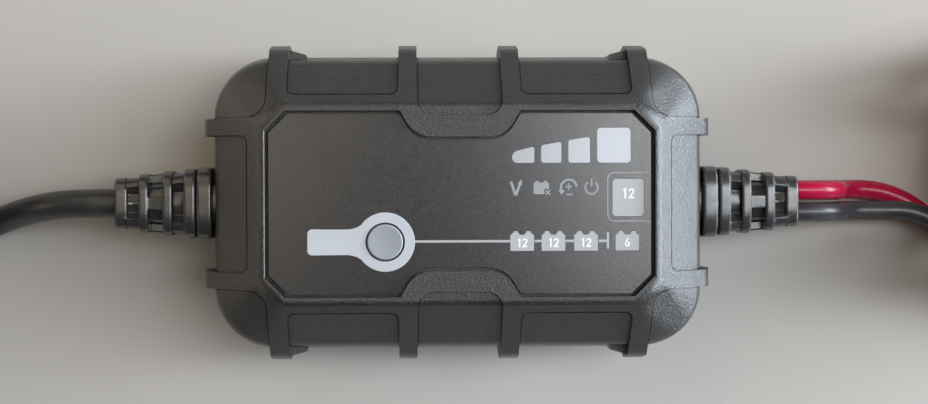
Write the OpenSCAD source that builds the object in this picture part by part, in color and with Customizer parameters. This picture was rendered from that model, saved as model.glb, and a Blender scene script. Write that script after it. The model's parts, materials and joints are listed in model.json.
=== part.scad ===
// Car battery charger: ribbed two-part case, face plate with a mode button and light windows,
// rubber boots at both ends, a mains lead with a two-blade plug and two leads with spring clamps.
// +X is the red and black leads' end, +Z comes out of the face. The base stands on z = 0.

/* [Case] */
// Length of the case between its end panels
case_l = 103; // [100:0.5:108]
// Width of the case between its side panels
case_w = 61.6; // [60:0.2:66]
// Height of the case over its ribs
case_h = 42; // [41:0.5:46]
// Wall thickness of both halves
wall = 2.5; // [2:0.1:3]
// Plan radius of the case corners
corner_r = 13; // [10:0.5:15]
// Height that the sloped shoulders drop
shoulder_drop = 10.6; // [9:0.2:12]
// Lean of the outer walls between the parting plane and the shoulders
wall_lean = 1.2; // [0.6:0.1:1.4]

/* [Ribs] */
// Height of the raised frame above the flat top
frame_rise = 0.9; // [0.6:0.1:1.2]
// Stand-out of the ribs at the long sides
rib_proud = 2.45; // [1.8:0.05:3]
// Stand-out of the lugs at the ends
lug_proud = 2; // [1.5:0.1:2.5]
// Half width of the recess between the middle ribs
mid_recess = 8.6; // [8:0.1:9.2]
// Width of a middle rib
mid_rib_w = 3.9; // [3:0.1:5]
// Distance of an outer rib's inner side from the middle
outer_rib_x = 35.2; // [34:0.2:36.4]
// Width of an outer rib
outer_rib_w = 4.2; // [3.4:0.2:4.6]
// Half distance between the lugs of one end
lug_y = 14; // [13:0.2:14.6]
// Width of a lug
lug_w = 4; // [3:0.2:4.4]
// Width of the frame round the face plate, along the sides
band_w = 4.3; // [3.8:0.1:4.8]
// Width of the frame round the face plate, at the ends
band_end = 4.8; // [4.4:0.1:5.4]

/* [Face] */
// Length of the face plate
plate_l = 78.4; // [77:0.2:80]
// Width of the face plate
plate_w = 37.4; // [36:0.2:38.4]
// Corner cut of the face plate
plate_cut = 4; // [3:0.1:5]
// Thickness of the face plate
plate_t = 1.2; // [1:0.1:1.6]
// Depth of the face plate below the rim
plate_sink = 1; // [0.6:0.1:1.2]
// Width of the flat rim round the face plate
rim_w = 1.5; // [1.2:0.1:1.8]
// Depth of the notch in each long side of the face plate
notch_d = 5.3; // [4.5:0.1:5.5]
// Half length of the notch's flat
notch_flat = 5.7; // [5:0.1:6.4]
// Radius of the notch's sides
notch_r = 6; // [5.4:0.1:6.4]
// Radius of the button
button_r = 3.6; // [3.2:0.1:3.8]
// Outer radius of the pale ring round the button
ring_r = 6; // [5.4:0.1:6.4]
// Travel of the button
button_travel = 0.6; // [0.4:0.1:0.8]

/* [Boots and cords] */
// Length of a boot outside the case
boot_l = 20.5; // [18:0.5:23]
// Diameter of a boot's flange
boot_d = 15.1; // [14:0.1:16]
// Diameter of the mains cord
ac_d = 6; // [5.6:0.1:6]
// Diameter of the red lead and of the black lead
lead_d = 4.2; // [3.8:0.1:4.2]
// Distance between the red and the black lead where they leave the boot
lead_pitch = 4.6; // [4.4:0.1:5]
// Thickness of the straps that hold the coils
tie_t = 0.8; // [0.6:0.1:1]

/* [Plug and clamps] */
// Length of the plug's body
plug_l = 24; // [22:1:26]
// Width of the plug's body
plug_w = 22; // [21:0.5:24]
// Thickness of the plug's body
plug_t = 13.4; // [12:0.2:13.8]
// Thickness of a clamp across its jaws
clamp_t = 12; // [11.6:0.1:12.4]
// Radius of the pivot pin of a clamp
pin_r = 1.5; // [1.3:0.1:1.7]
// Wire diameter of a clamp's spring
spring_d = 0.9; // [0.7:0.05:1]

/* [Hidden] */
$fn = 48;
skin = 0.01;
far = 200;

// heights
part_z = case_h / 2;
plate_top = case_h - plate_sink;
plate_low = plate_top - plate_t;
roof_low = case_h - frame_rise - wall * sqrt(2);
floor_top = case_h - roof_low;

// half sizes of the flat top and of the face plate
flat_x = plate_l / 2 + rim_w;
flat_y = plate_w / 2 + rim_w;
flat_cut = plate_cut + rim_w / 2;
band_y = plate_w / 2 + band_w;
band_x = plate_l / 2 + band_end;
half_l = case_l / 2;
half_w = case_w / 2;
recess_y = plate_w / 2 - notch_d + 4.4;

// the mode button and its pale ring
button_x = -15.2;
button_y = -7.7;
button_gap = 0.3;
button_top = plate_top + 0.4;
tab_l = 15.7;
tab_w = 5.3;

// ---------------------------------------------------------------- shared shapes

// A rectangle round the origin with arcs at its corners.
module round_rect(l, w, r) {
    square([l - 2 * r, w], center = true);
    square([l, w - 2 * r], center = true);
    for (x = [-1, 1], y = [-1, 1])
        translate([x * (l / 2 - r), y * (w / 2 - r)]) circle(r);
}

// A rectangle round the origin with straight cuts at its corners.
module cut_rect(l, w, c) {
    polygon([
        for (q = [[1, 1, 0], [-1, 1, 1], [-1, -1, 0], [1, -1, 1]], k = [0, 1])
            let (first = (k + q[2]) % 2 == 0)
            [q[0] * (l / 2 - (first ? 0 : c)), q[1] * (w / 2 - (first ? c : 0))]
    ]);
}

// Half of the case's solid, upwards from the parting plane. Its walls lean in below the shoulder.
module half_solid(x, y, r, top, drop, lean = 0) {
    hull() {
        for (i = [-1, 1], j = [-1, 1])
            translate([i * (x - r), j * (y - r), 0])
                cylinder(r1 = r, r2 = r - lean, h = top - drop, $fn = 32);
        translate([0, 0, top - skin])
            linear_extrude(skin) cut_rect(2 * flat_x, 2 * flat_y, flat_cut);
    }
}

// The openings of the raised frame, one quarter of the plan.
module frame_openings() {
    rib_x = mid_recess + mid_rib_w;
    // between the middle ribs
    translate([0, recess_y + far / 2]) round_rect(2 * mid_recess, far, 3.3);
    // between a middle and an outer rib
    translate([(rib_x + outer_rib_x) / 2, band_y + far / 2])
        round_rect(outer_rib_x - rib_x, far, 1.5);
    // the corner
    difference() {
        translate([outer_rib_x + outer_rib_w, lug_y + lug_w]) square(far);
        translate([band_x - 15, band_y - 15]) round_rect(30, 30, 4.5);
    }
    // between the lugs
    translate([band_x + far / 2, 0]) round_rect(far, 2 * lug_y, 1.5);
}

module all_frame_openings() {
    for (i = [0, 1], j = [0, 1])
        mirror([i, 0, 0]) mirror([0, j, 0]) frame_openings();
}

// A small wedge on the inner side of each outer rib, beside the parting plane.
module rib_wedges() {
    for (i = [0, 1], j = [0, 1])
        mirror([i, 0, 0]) mirror([0, j, 0])
            linear_extrude(6)
                polygon([
                    [outer_rib_x + 1, half_w - 2],
                    [outer_rib_x + 1, half_w + rib_proud - wall_lean],
                    [outer_rib_x, half_w + rib_proud - wall_lean],
                    [outer_rib_x - 3.4, half_w + 0.3],
                    [outer_rib_x - 4.4, half_w - 2]
                ]);
}

// Half of the outer form: the panels and the frame that stands over them.
module half_outside() {
    half_solid(half_l, half_w, corner_r, part_z - frame_rise, shoulder_drop, wall_lean);
    difference() {
        half_solid(half_l + lug_proud, half_w + rib_proud, corner_r + lug_proud,
            part_z, shoulder_drop + rib_proud, wall_lean);
        translate([0, 0, -1]) linear_extrude(case_h) all_frame_openings();
    }
    rib_wedges();
}

module half_inside() {
    translate([0, 0, -skin])
        half_solid(half_l - wall, half_w - wall, corner_r - wall,
            roof_low - part_z + skin, shoulder_drop - wall);
}

// The face plate's plan, grown by g on every side.
module plate_outline(g = 0) {
    difference() {
        cut_rect(plate_l + 2 * g, plate_w + 2 * g, plate_cut + g * 0.6);
        for (j = [0, 1]) mirror([0, j, 0]) notch_outline(g);
    }
}

module notch_outline(g = 0) {
    y0 = plate_w / 2 - notch_d + g;
    r = notch_r - g;
    side = [for (a = [0 : 6 : 60]) [notch_flat + r * sin(a), y0 + r * (1 - cos(a))]];
    last = side[len(side) - 1];
    top = plate_w / 2 + 1;
    tip = [last[0] + (top - last[1]) / tan(60), top];
    polygon(concat(side, [tip], [[-tip[0], tip[1]]], [
        for (k = [len(side) - 1 : -1 : 0]) [-side[k][0], side[k][1]]
    ]));
}

// ---------------------------------------------------------------- case

post_x = 34.5;
post_y = 15;
screw_r = 1.45;
screw_gap = 0.25;
head_r = 2.6;
head_h = 1.8;
head_seat = 5;
boss_top = 11.2;
board_z = 8;
board_t = 1.6;
boot_neck_r = 5;
boot_inner_r = 7;
boot_gap = 0.05;

module at_posts() {
    for (i = [-1, 1], j = [-1, 1]) translate([i * post_x, j * post_y, 0]) children();
}

// Half of the round hole for a boot, through both end walls.
module boot_holes() {
    for (i = [-1, 1])
        translate([i * half_l, 0, part_z]) rotate([0, 90, 0])
            cylinder(r = boot_neck_r + boot_gap, h = 4 * wall, center = true);
}

seal_w = 1.1;
seal_t = 0.8;

module seal_ring(extra = 0) {
    difference() {
        round_rect(case_l - wall + seal_w + extra, case_w - wall + seal_w + extra,
            corner_r - (wall - seal_w) / 2);
        round_rect(case_l - wall - seal_w - extra, case_w - wall - seal_w - extra,
            corner_r - (wall + seal_w) / 2);
    }
}

// Where a boot's neck passes, the seal and its groove stop.
module seal_stops(w) {
    cube([2 * case_l, w, case_h], center = true);
}

// The display board hangs under the roof, and the tall pieces of the main board end below it.
display_post_r = 2.2;
display_posts = [[-19.5, 12.4], [5, 12.4], [-6, -12.6], [24, -12.6]];
display_drop = 9;
display_z = roof_low - display_drop;
display_t = 1.2;
on_board = board_z + board_t;
room_h = display_z - on_board;
tall_gap = 4;

module upper_case() {
    color([0.13, 0.13, 0.135])
    difference() {
        union() {
            difference() {
                translate([0, 0, part_z]) half_outside();
                translate([0, 0, part_z]) half_inside();
            }
            // posts that take the case screws
            at_posts() translate([0, 0, boss_top])
                cylinder(r = 3.2, h = roof_low - boss_top + 0.5);
            // posts that hold the display board
            for (p = display_posts)
                translate([p[0], p[1], display_z + display_t])
                    cylinder(r = display_post_r, h = roof_low - display_z - display_t + 0.5);
        }
        // pocket of the face plate
        translate([0, 0, plate_low]) linear_extrude(case_h) plate_outline(0.15);
        // opening for the light guide
        translate([0, 0, part_z]) linear_extrude(plate_low - part_z + 0.1) guide_outline(0.1);
        // way of the button's stem
        translate([button_x, button_y, part_z]) cylinder(r = stem_r + stem_gap, h = case_h);
        at_posts() cylinder(r = screw_r, h = head_seat + screw_l + 0.6);
        for (p = display_posts)
            translate([p[0], p[1], 0]) cylinder(r = small_r, h = display_z + small_l + 0.5);
        boot_holes();
    }
}

label_l = 44;
label_w = 20;
label_t = 0.3;
label_sink = 0.1;

module lower_case() {
    color([0.12, 0.12, 0.125])
    difference() {
        union() {
            difference() {
                translate([0, 0, part_z]) mirror([0, 0, 1]) half_outside();
                translate([0, 0, part_z]) mirror([0, 0, 1]) half_inside();
            }
            // stepped bosses: the main board lies on the step
            at_posts() {
                translate([0, 0, head_seat - 3]) cylinder(r = 4.6, h = board_z - head_seat + 3);
                translate([0, 0, head_seat]) cylinder(r = 3.2, h = boss_top - head_seat);
            }
            for (p = board_screw_points)
                translate([p[0], p[1], floor_top - 0.5])
                    cylinder(r = 2.6, h = board_z - floor_top + 0.5);
        }
        at_posts() {
            translate([0, 0, -1]) cylinder(r = head_r + screw_gap, h = head_seat + 1);
            cylinder(r = screw_r + screw_gap, h = boss_top + 1);
        }
        for (p = board_screw_points)
            translate([p[0], p[1], board_z + board_t - small_l - 0.5])
                cylinder(r = small_r, h = case_h);
        translate([0, 0, -1])
            linear_extrude(1 + label_sink + label_t)
                round_rect(label_l + 0.2, label_w + 0.2, 1.6);
        // groove of the seal
        difference() {
            translate([0, 0, part_z - seal_t]) linear_extrude(seal_t + 1) seal_ring(0.1);
            seal_stops(4 * boot_neck_r - 4);
        }
        boot_holes();
    }
}

module case_seal() {
    color([0.05, 0.05, 0.05])
    difference() {
        translate([0, 0, part_z - seal_t]) linear_extrude(seal_t) seal_ring();
        seal_stops(4 * boot_neck_r - 3.8);
    }
}

screw_l = 16;

// One screw, point up, with its head's seat at z = 0.
module screw(r, l, cap_r, cap_h) {
    difference() {
        union() {
            translate([0, 0, -cap_h]) cylinder(r = cap_r, h = cap_h);
            cylinder(r = r, h = l);
        }
        translate([0, 0, -cap_h - 1]) {
            cube([cap_r * 1.2, 0.7, 3], center = true);
            cube([0.7, cap_r * 1.2, 3], center = true);
        }
    }
}

module case_screws() {
    color([0.5, 0.5, 0.52])
        at_posts() translate([0, 0, head_seat]) screw(screw_r, screw_l, head_r, head_h);
}

module rating_plate() {
    color([0.3, 0.3, 0.31])
        translate([0, 0, label_sink]) linear_extrude(label_t) round_rect(label_l, label_w, 1.5);
}

// ---------------------------------------------------------------- face

line_y = button_y + 0.1;
icon_gap = 0.05;

// [left, right, low, top at left, top at right] of each level bar
bars = [
    [10.5, 15, 8.4, 10.6, 11.8],
    [16.4, 20.5, 8.4, 12, 12.7],
    [21.9, 26.3, 8.4, 13, 13.7]
];

module bar_outline(b, g = 0) {
    polygon([
        [b[0] - g, b[2] + 0.5],
        [b[0] + 0.5, b[2] - g],
        [b[1] - 0.4, b[2] - g],
        [b[1] + g, b[2] + 0.4],
        [b[1] + g, b[4] - 0.5 + g],
        [b[1] - 0.5, b[4] + g],
        [b[0] + 0.9, b[3] + g],
        [b[0] - g, b[3] - 0.8 + g]
    ]);
}

module level_outlines(g = 0) {
    for (b = bars) bar_outline(b, g);
    translate([31.15, 11.95]) round_rect(6.9 + 2 * g, 7.1 + 2 * g, 0.7 + g);
}

// A battery seen from the side: a box with two terminals.
module battery_outline(w, h, g = 0) {
    translate([0, -0.35]) square([w + 2 * g, h - 0.7 + 2 * g], center = true);
    for (i = [-1, 1])
        translate([i * w * 0.27, h / 2 - 0.5]) square([w * 0.22 + 2 * g, 1 + 2 * g], center = true);
}

icon_y = 3.2;

module status_outlines(g = 0) {
    // chevron: low voltage
    translate([11.65, icon_y])
        polygon([
            [-1.5 - g, 1.7 + g], [-0.7 + g, 1.7 + g], [0, -0.5 + g], [0.7 - g, 1.7 + g],
            [1.5 + g, 1.7 + g], [0.45 + g, -1.7 - g], [-0.45 - g, -1.7 - g]
        ]);
    // battery with a struck corner
    translate([16.65, icon_y]) battery_outline(3.9, 3.3, g);
    // ring with a tail: leads the wrong way round
    translate([22, icon_y]) {
        circle(1.75 + g);
        translate([0.6, -1.75 - g]) square([1.3 + g, 0.8 + 2 * g]);
    }
    // standby: an open ring and a stroke
    translate([26.6, icon_y]) {
        circle(1.55 + g);
        translate([-0.3 - g, 0]) square([0.6 + 2 * g, 1.9 + g]);
    }
}

repair_x = 34.1;
repair_y = 1.25;
repair_l = 6.4;
repair_w = 7.7;

module repair_outline(g = 0) {
    translate([repair_x, repair_y]) round_rect(repair_l + 2 * g, repair_w + 2 * g, 0.8 + g);
}

mode_x = [12.6, 18.9, 25.6, 33.95];

module mode_outlines(g = 0) {
    for (x = mode_x) translate([x, line_y]) battery_outline(4.8, 4, g);
}

module ring_outline(g = 0) {
    side = [
        [-tab_l - g, tab_w / 2 - 0.8],
        [-tab_l + 0.25, tab_w / 2 - 0.25 + g / 2],
        [-tab_l + 0.8, tab_w / 2 + g],
        [-ring_r - 1.6, tab_w / 2 + g],
        [-ring_r * 0.8, ring_r * 0.6 + g],
        [-ring_r * 0.2, ring_r * 0.4]
    ];
    translate([button_x, button_y]) {
        circle(ring_r + g);
        // the tab with its cut corners, and its flare into the ring
        polygon([
            for (j = [-1, 1], q = j < 0 ? side : [for (k = [len(side) - 1 : -1 : 0]) side[k]])
                [q[0], j * q[1]]
        ]);
    }
}

module face_plate() {
    color([0.27, 0.27, 0.275])
    translate([0, 0, plate_low])
    difference() {
        linear_extrude(plate_t) plate_outline();
        translate([0, 0, -1]) linear_extrude(plate_t + 2) {
            level_outlines(icon_gap);
            status_outlines(icon_gap);
            repair_outline(icon_gap);
            mode_outlines(icon_gap);
            ring_outline(icon_gap);
        }
    }
}

module mode_ring() {
    color([0.74, 0.76, 0.78])
    translate([0, 0, plate_low])
    difference() {
        linear_extrude(plate_t) ring_outline();
        translate([button_x, button_y, -1]) cylinder(r = button_r + button_gap, h = plate_t + 2);
    }
}

module level_windows() {
    color([0.62, 0.63, 0.65]) translate([0, 0, plate_low]) linear_extrude(plate_t) level_outlines();
}

module status_icons() {
    color([0.5, 0.51, 0.53]) translate([0, 0, plate_low]) linear_extrude(plate_t) status_outlines();
}

module repair_window() {
    color([0.62, 0.63, 0.65]) translate([0, 0, plate_low]) linear_extrude(plate_t) repair_outline();
}

module mode_icons() {
    color([0.62, 0.63, 0.65]) translate([0, 0, plate_low]) linear_extrude(plate_t) mode_outlines();
}

stem_r = 1.8;
stem_gap = 0.4;
collar_w = 0.7;
collar_h = 1.2;
plunger_r = 1.5;
switch_h = 3.2;
plunger_h = 1.2;

module mode_button() {
    plunger_top = display_z + display_t + switch_h + plunger_h;
    color([0.47, 0.48, 0.5])
    translate([button_x, button_y, 0]) {
        // slightly dished cap
        difference() {
            translate([0, 0, plate_low + button_travel + 0.1])
                cylinder(r = button_r, h = button_top - plate_low - button_travel - 0.1);
            translate([0, 0, button_top + 40 - 0.25]) sphere(r = 40, $fn = 96);
        }
        translate([0, 0, plunger_top])
            cylinder(r = stem_r, h = plate_low + button_travel + 0.2 - plunger_top);
        // snap collar under the roof
        translate([0, 0, roof_low - collar_h - 0.1]) cylinder(r = stem_r + collar_w, h = collar_h);
    }
}

module switch_plunger() {
    color([0.1, 0.1, 0.1])
    translate([button_x, button_y, display_z + display_t + switch_h - 1])
        cylinder(r = plunger_r, h = plunger_h + 1);
}

module button_switch() {
    color([0.2, 0.2, 0.21])
    translate([button_x, button_y, display_z + display_t])
    difference() {
        translate([-3, -3, 0]) cube([6, 6, switch_h]);
        translate([0, 0, switch_h - 1 - button_travel - 0.1])
            cylinder(r = plunger_r + 0.08, h = switch_h);
    }
}

guide_x = 23.7;
guide_y = 1.7;
guide_l = 28.6;
guide_w = 22.8;
guide_t = plate_low - roof_low;

module guide_outline(g = 0) {
    translate([guide_x, guide_y]) round_rect(guide_l + 2 * g, guide_w + 2 * g, 1.2);
}

led_points = concat(
    [for (b = bars) [(b[0] + b[1]) / 2, 10.4]],
    [[31.15, 11.95]],
    [for (x = [11.65, 16.65, 22, 26.6]) [x, icon_y]],
    [[repair_x, repair_y]],
    [for (x = mode_x) [x, line_y]]
);
led_l = 1.6;
led_w = 0.8;
led_h = 0.7;
led_gap = 0.3;

module light_guide() {
    leg_low = display_z + display_t + led_h + led_gap;
    color([0.92, 0.93, 0.94]) {
        translate([0, 0, roof_low]) linear_extrude(guide_t) guide_outline();
        for (p = led_points)
            translate([p[0], p[1], leg_low]) cylinder(r = 1, h = roof_low - leg_low + 0.2);
    }
}

// ---------------------------------------------------------------- display board

display_l = 62;
display_w = 30;
display_x = 8.5;
display_y = 0;

module display_board() {
    color([0.06, 0.22, 0.12])
    translate([0, 0, display_z])
    difference() {
        linear_extrude(display_t)
            translate([display_x, display_y]) round_rect(display_l, display_w, 1.5);
        at_posts() translate([0, 0, -1]) cylinder(r = 3.6, h = display_t + 2);
        for (p = display_posts)
            translate([p[0], p[1], -1]) cylinder(r = small_r + 0.2, h = display_t + 2);
    }
}

module leds() {
    color([0.9, 0.9, 0.8])
    for (p = led_points)
        translate([p[0] - led_l / 2, p[1] - led_w / 2, display_z + display_t])
            cube([led_l, led_w, led_h]);
}

chip_w = 7;
chip_pins = 8;

module control_chip() {
    step = chip_w / (chip_pins + 0.75);
    color([0.08, 0.08, 0.08])
    translate([-5, 3, display_z + display_t]) {
        cube([chip_w, chip_w, 1.1]);
        for (i = [0 : chip_pins - 1], j = [0, 1])
            translate([(i + 0.75) * step, j * chip_w - 0.7 + (j - 0.5), 0])
                cube([step / 2, 1.4, 0.5]);
    }
}

link_x = -2;
link_y = 13.2;
link_pins = 6;

module board_link() {
    color([0.75, 0.65, 0.3]) {
        for (i = [0 : link_pins - 1])
            translate([link_x - i * 2 - 0.3, link_y - 0.3, board_z + board_t])
                cube([0.6, 0.6, display_z - board_z - board_t]);
        translate([link_x - link_pins * 2 + 0.8, link_y - 1.2, board_z + board_t])
            cube([link_pins * 2 + 0.4, 2.4, 2.4]);
    }
}

// ---------------------------------------------------------------- main board

board_l = 84;
board_w = 43;
board_edge = board_w / 2;
board_screw_points = [[-12, board_edge - 2.9], [14, 2.9 - board_edge]];

module main_board() {
    color([0.07, 0.25, 0.13])
    translate([0, 0, board_z])
    difference() {
        linear_extrude(board_t) cut_rect(board_l, board_w, 5);
        at_posts() translate([0, 0, -1]) cylinder(r = 3.5, h = board_t + 2);
        for (p = board_screw_points)
            translate([p[0], p[1], -1]) cylinder(r = small_r + 0.2, h = board_t + 2);
    }
}

small_r = 0.95;
small_l = 4.4;
small_cap_r = 1.8;
small_cap_h = 1.1;

// Screws of both boards: the main board's point down, the display board's point up.
module board_screws() {
    color([0.6, 0.6, 0.62]) {
        for (p = board_screw_points)
            translate([p[0], p[1], board_z + board_t])
                mirror([0, 0, 1]) screw(small_r, small_l, small_cap_r, small_cap_h);
        for (p = display_posts)
            translate([p[0], p[1], display_z]) screw(small_r, small_l, small_cap_r, small_cap_h);
    }
}

core_x = 5;
core_l = 20;
core_w = 18;
core_h = room_h - tall_gap;
leg = 4.5;
yoke = 0.2256 * core_h;

// Two E-shaped halves: outer frame and centre leg, open along Y.
module transformer_core() {
    color([0.22, 0.22, 0.23])
    translate([core_x, 1, on_board + 1])
    difference() {
        translate([-core_l / 2, -leg, 0]) cube([core_l, 2 * leg, core_h]);
        for (i = [-1, 1])
            translate([i * core_l / 4 - (core_l / 4 - leg * 0.75), -leg - 1, yoke])
                cube([core_l / 2 - leg * 1.5, 2 * leg + 2, core_h - 2 * yoke]);
    }
}

module transformer_winding() {
    gap = 0.2;
    h = core_h - 2 * yoke - 2 * gap;
    color([0.75, 0.6, 0.15])
    translate([core_x, 1, on_board + 1 + yoke + gap])
    difference() {
        translate([-core_l / 2 + leg * 0.75 + gap, -core_w / 2, 0])
            cube([core_l - leg * 1.5 - 2 * gap, core_w, h]);
        translate([-leg * 0.75 - gap, -leg - gap, -1])
            cube([leg * 1.5 + 2 * gap, 2 * leg + 2 * gap, h + 2]);
    }
    color([0.1, 0.1, 0.1])
    for (i = [-1, 1], j = [-1, 1])
        translate([core_x + i * 4, 1 + j * (core_w / 2 - 1), on_board])
            cylinder(r = 0.5, h = 1 + yoke + 2 * gap);
}

choke_x = -27.5;
choke_y = -3;
choke_r = 5.2;

module choke_core() {
    color([0.2, 0.35, 0.25])
    translate([choke_x, choke_y, on_board + 8]) rotate([90, 0, 0])
        rotate_extrude() translate([choke_r, 0]) square([2.6, 5], center = true);
}

module choke_winding() {
    color([0.7, 0.35, 0.12])
    translate([choke_x, choke_y, on_board + 8]) rotate([90, 0, 0])
        for (s = [20, 200])
            rotate([0, 0, s])
                rotate_extrude(angle = 140)
                    translate([choke_r, 0]) difference() {
                        square([4.8, 7.2], center = true);
                        square([2.8, 5.2], center = true);
                    }
    color([0.75, 0.75, 0.78])
    for (i = [-1, 1], j = [-1, 1])
        translate([choke_x + i * 4, choke_y + j * 3, on_board]) cylinder(r = 0.45, h = 3);
}

module bulk_capacitor() {
    color([0.1, 0.12, 0.2])
    translate([-14, -7.5, on_board]) can(5, room_h - tall_gap);
}

// A round capacitor with a lower rim round its top.
module can(r, h) {
    cylinder(r = r, h = h);
    translate([0, 0, h]) cylinder(r = r - 0.5, h = 0.4);
}

module film_capacitor() {
    color([0.75, 0.7, 0.2]) translate([-28, board_edge - 8.5, on_board]) cube([11, 5, 8.5]);
}

module output_capacitors() {
    color([0.1, 0.14, 0.12])
    for (x = [22, 30.5]) translate([x, 5, on_board]) can(4, room_h - tall_gap - 1);
}

module rectifier() {
    color([0.09, 0.09, 0.1]) translate([-14, 2.5 - board_edge, on_board]) cube([9, 4.5, 9]);
}

sink_x = 5;
sink_y = 8.9 - board_edge;
sink_h = room_h - tall_gap;

module heat_sink() {
    color([0.72, 0.73, 0.75])
    translate([sink_x, sink_y, on_board]) {
        cube([24, 1.8, sink_h]);
        for (i = [0 : 4]) translate([i * 5.5 + 0.4, 1.8 - 0.01, 0]) cube([1.2, 1.6, sink_h]);
    }
}

module power_transistors() {
    color([0.1, 0.1, 0.11])
    for (x = [10, 22])
        translate([sink_x + x - 8.5, sink_y - 2.2, on_board + 2]) {
            cube([8, 2.2, 9]);
            for (i = [-1 : 1]) translate([3.65 + i * 2.4, 0.7, -2]) cube([0.7, 0.7, 2.2]);
        }
}

module fuse() {
    color([0.8, 0.8, 0.75])
    translate([-38, 8, on_board + 2.4]) rotate([0, 90, 0]) {
        cylinder(r = 1.9, h = 8.4);
        for (x = [1.2, 6.4]) translate([0, -0.4, x]) cube([2.4, 0.8, 0.8]);
    }
}

// ---------------------------------------------------------------- boots

boot_core_r = 4.1;
hoops = [[0, 3.1, 1], [3.4, 5.9, 0.967], [8.2, 10.3, 0.905], [13.3, 15.4, 0.825], [17.7, 20.5, 0.715]];
bridge_w = 2.6;

// A rubber boot along +X from the case's end wall, its neck and inner flange inside the wall.
module boot(tip_r) {
    scale_l = boot_l / 20.5;
    rotate([0, 90, 0]) {
        // flange and hoops
        for (h = hoops)
            translate([0, 0, h[0] * scale_l]) boot_hoop(h[2] * boot_d / 2, (h[1] - h[0]) * scale_l);
        // core that shows through the slots
        cylinder(r1 = boot_core_r + 1, r2 = boot_core_r, h = boot_l - 1);
        // bridges between the hoops
        for (k = [1 : 3], a = [0 : 90 : 270])
            rotate([0, 0, a + (k % 2 == 1 ? 45 : 0)])
                intersection() {
                    translate([0, -bridge_w / 2, hoops[k][1] * scale_l - 0.5])
                        cube([boot_d, bridge_w, (hoops[k + 1][0] - hoops[k][1]) * scale_l + 1]);
                    cylinder(r1 = boot_d / 2 - 0.2, r2 = boot_d / 2 * 0.715 - 0.2, h = boot_l);
                }
        // neck through the wall, and the flange behind it
        translate([0, 0, -wall]) cylinder(r = boot_neck_r, h = wall + 0.5);
        translate([0, 0, -wall - 2]) cylinder(r = boot_inner_r, h = 2);
        // collar that grips the cord
        translate([0, 0, boot_l - 1]) cylinder(r1 = hoops[4][2] * boot_d / 2 - 0.6, r2 = tip_r, h = 1);
    }
}

module boot_hoop(r, h) {
    e = 0.3;
    cylinder(r1 = r - e, r2 = r, h = e);
    translate([0, 0, e]) cylinder(r = r, h = h - 2 * e);
    translate([0, 0, h - e]) cylinder(r1 = r, r2 = r - e, h = e);
}

collar_t = 0.4;

module ac_boot() {
    color([0.2, 0.2, 0.205])
        translate([-half_l, 0, part_z]) mirror([1, 0, 0]) boot(ac_d / 2 + 3 * collar_t);
}

module dc_boot() {
    color([0.2, 0.2, 0.205])
        translate([half_l, 0, part_z]) boot((lead_pitch + lead_d) / 2 + collar_t);
}

// Two short wires each, from the boot's inner flange down to the main board.
wire_r = 0.9;
wire_in = half_l - wall - 2;
wire_run = wire_in - board_l / 2 + 2.5;

module inner_wires(side, colours) {
    for (k = [0, 1])
        color(colours[k])
        translate([side * wire_in, (k - 0.5) * 4.4, part_z]) {
            rotate([0, -90 * side, 0]) cylinder(r = wire_r, h = wire_run);
            translate([-side * wire_run, 0, 0]) sphere(wire_r);
            translate([-side * wire_run, 0, on_board - part_z])
                cylinder(r = wire_r, h = part_z - on_board);
        }
}

module ac_wires() { inner_wires(-1, ["#30251c", "#3a3f5c"]); }
module dc_wires() { inner_wires(1, ["#151515", "#b01818"]); }

// ---------------------------------------------------------------- swept tubes

function unit(v) = v / norm(v);
function level(v) = unit(cross([0, 0, 1], v));

// One closed tube of round section along a path, as triangles.
// first and last: directions that its ends are square to, where they aren't the path's own.
module tube(path, r, sides, first = undef, last = undef) {
    n = len(path);
    dirs = [
        for (i = [0 : n - 1])
            i == 0 && !is_undef(first) ? first :
            i == n - 1 && !is_undef(last) ? last :
            unit(path[min(i + 1, n - 1)] - path[max(i - 1, 0)])
    ];
    rings = [
        for (i = [0 : n - 1], k = [0 : sides - 1])
            let (s = level(dirs[i]), u = cross(dirs[i], s), a = 360 * (k + 0.5) / sides)
            path[i] + r * (cos(a) * s + sin(a) * u)
    ];
    walls = [
        for (i = [0 : n - 2], k = [0 : sides - 1], half = [0, 1])
            let (a = i * sides + k, b = i * sides + (k + 1) % sides)
            half == 0 ? [a, a + sides, b] : [b, a + sides, b + sides]
    ];
    caps = [
        for (k = [1 : sides - 2], end = [0, 1])
            let (e = (n - 1) * sides)
            end == 0 ? [0, k, k + 1] : [e, e + k + 1, e + k]
    ];
    polyhedron(points = rings, faces = concat(walls, caps));
}

// ---------------------------------------------------------------- coils

// A coil of piled turns. It winds in and out again at a steady rate, a layer each way, and
// climbs a layer in the half turn where the spiral reverses.
// c: centre, r: outer radius, pitch: step of the spiral in a turn, rise: step of a layer,
// turns: turns of the layers together, layers: their number, a0: first angle,
// hand: 1 counter-clockwise, -1 clockwise, extra: turns that go on past the last layer.
coil_steps = 24;
function wave(x) = let (m = x - 2 * floor(x / 2)) m < 1 ? m : 2 - m;
function ease(x) = let (t = min(max(x, 0), 1)) t * t * (3 - 2 * t);
function climbs(t, per, layers) =
    layers < 2 ? 0 :
    let (s = [for (k = [1 : layers - 1]) ease((t - k * per) / 0.5 + 0.5)])
    s * [for (v = s) 1];
function coil_point(c, r, pitch, rise, per, layers, a0, hand, z, t) =
    let (
        past = t > layers * per,
        rad = past ? r + pitch * (t - layers * per) : r - pitch * per * wave(t / per),
        a = a0 + hand * 360 * t
    )
    [c[0] + rad * cos(a), c[1] + rad * sin(a), z + rise * climbs(t, per, layers)];
function heading(a, hand) = [-hand * sin(a), hand * cos(a), 0];
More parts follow.
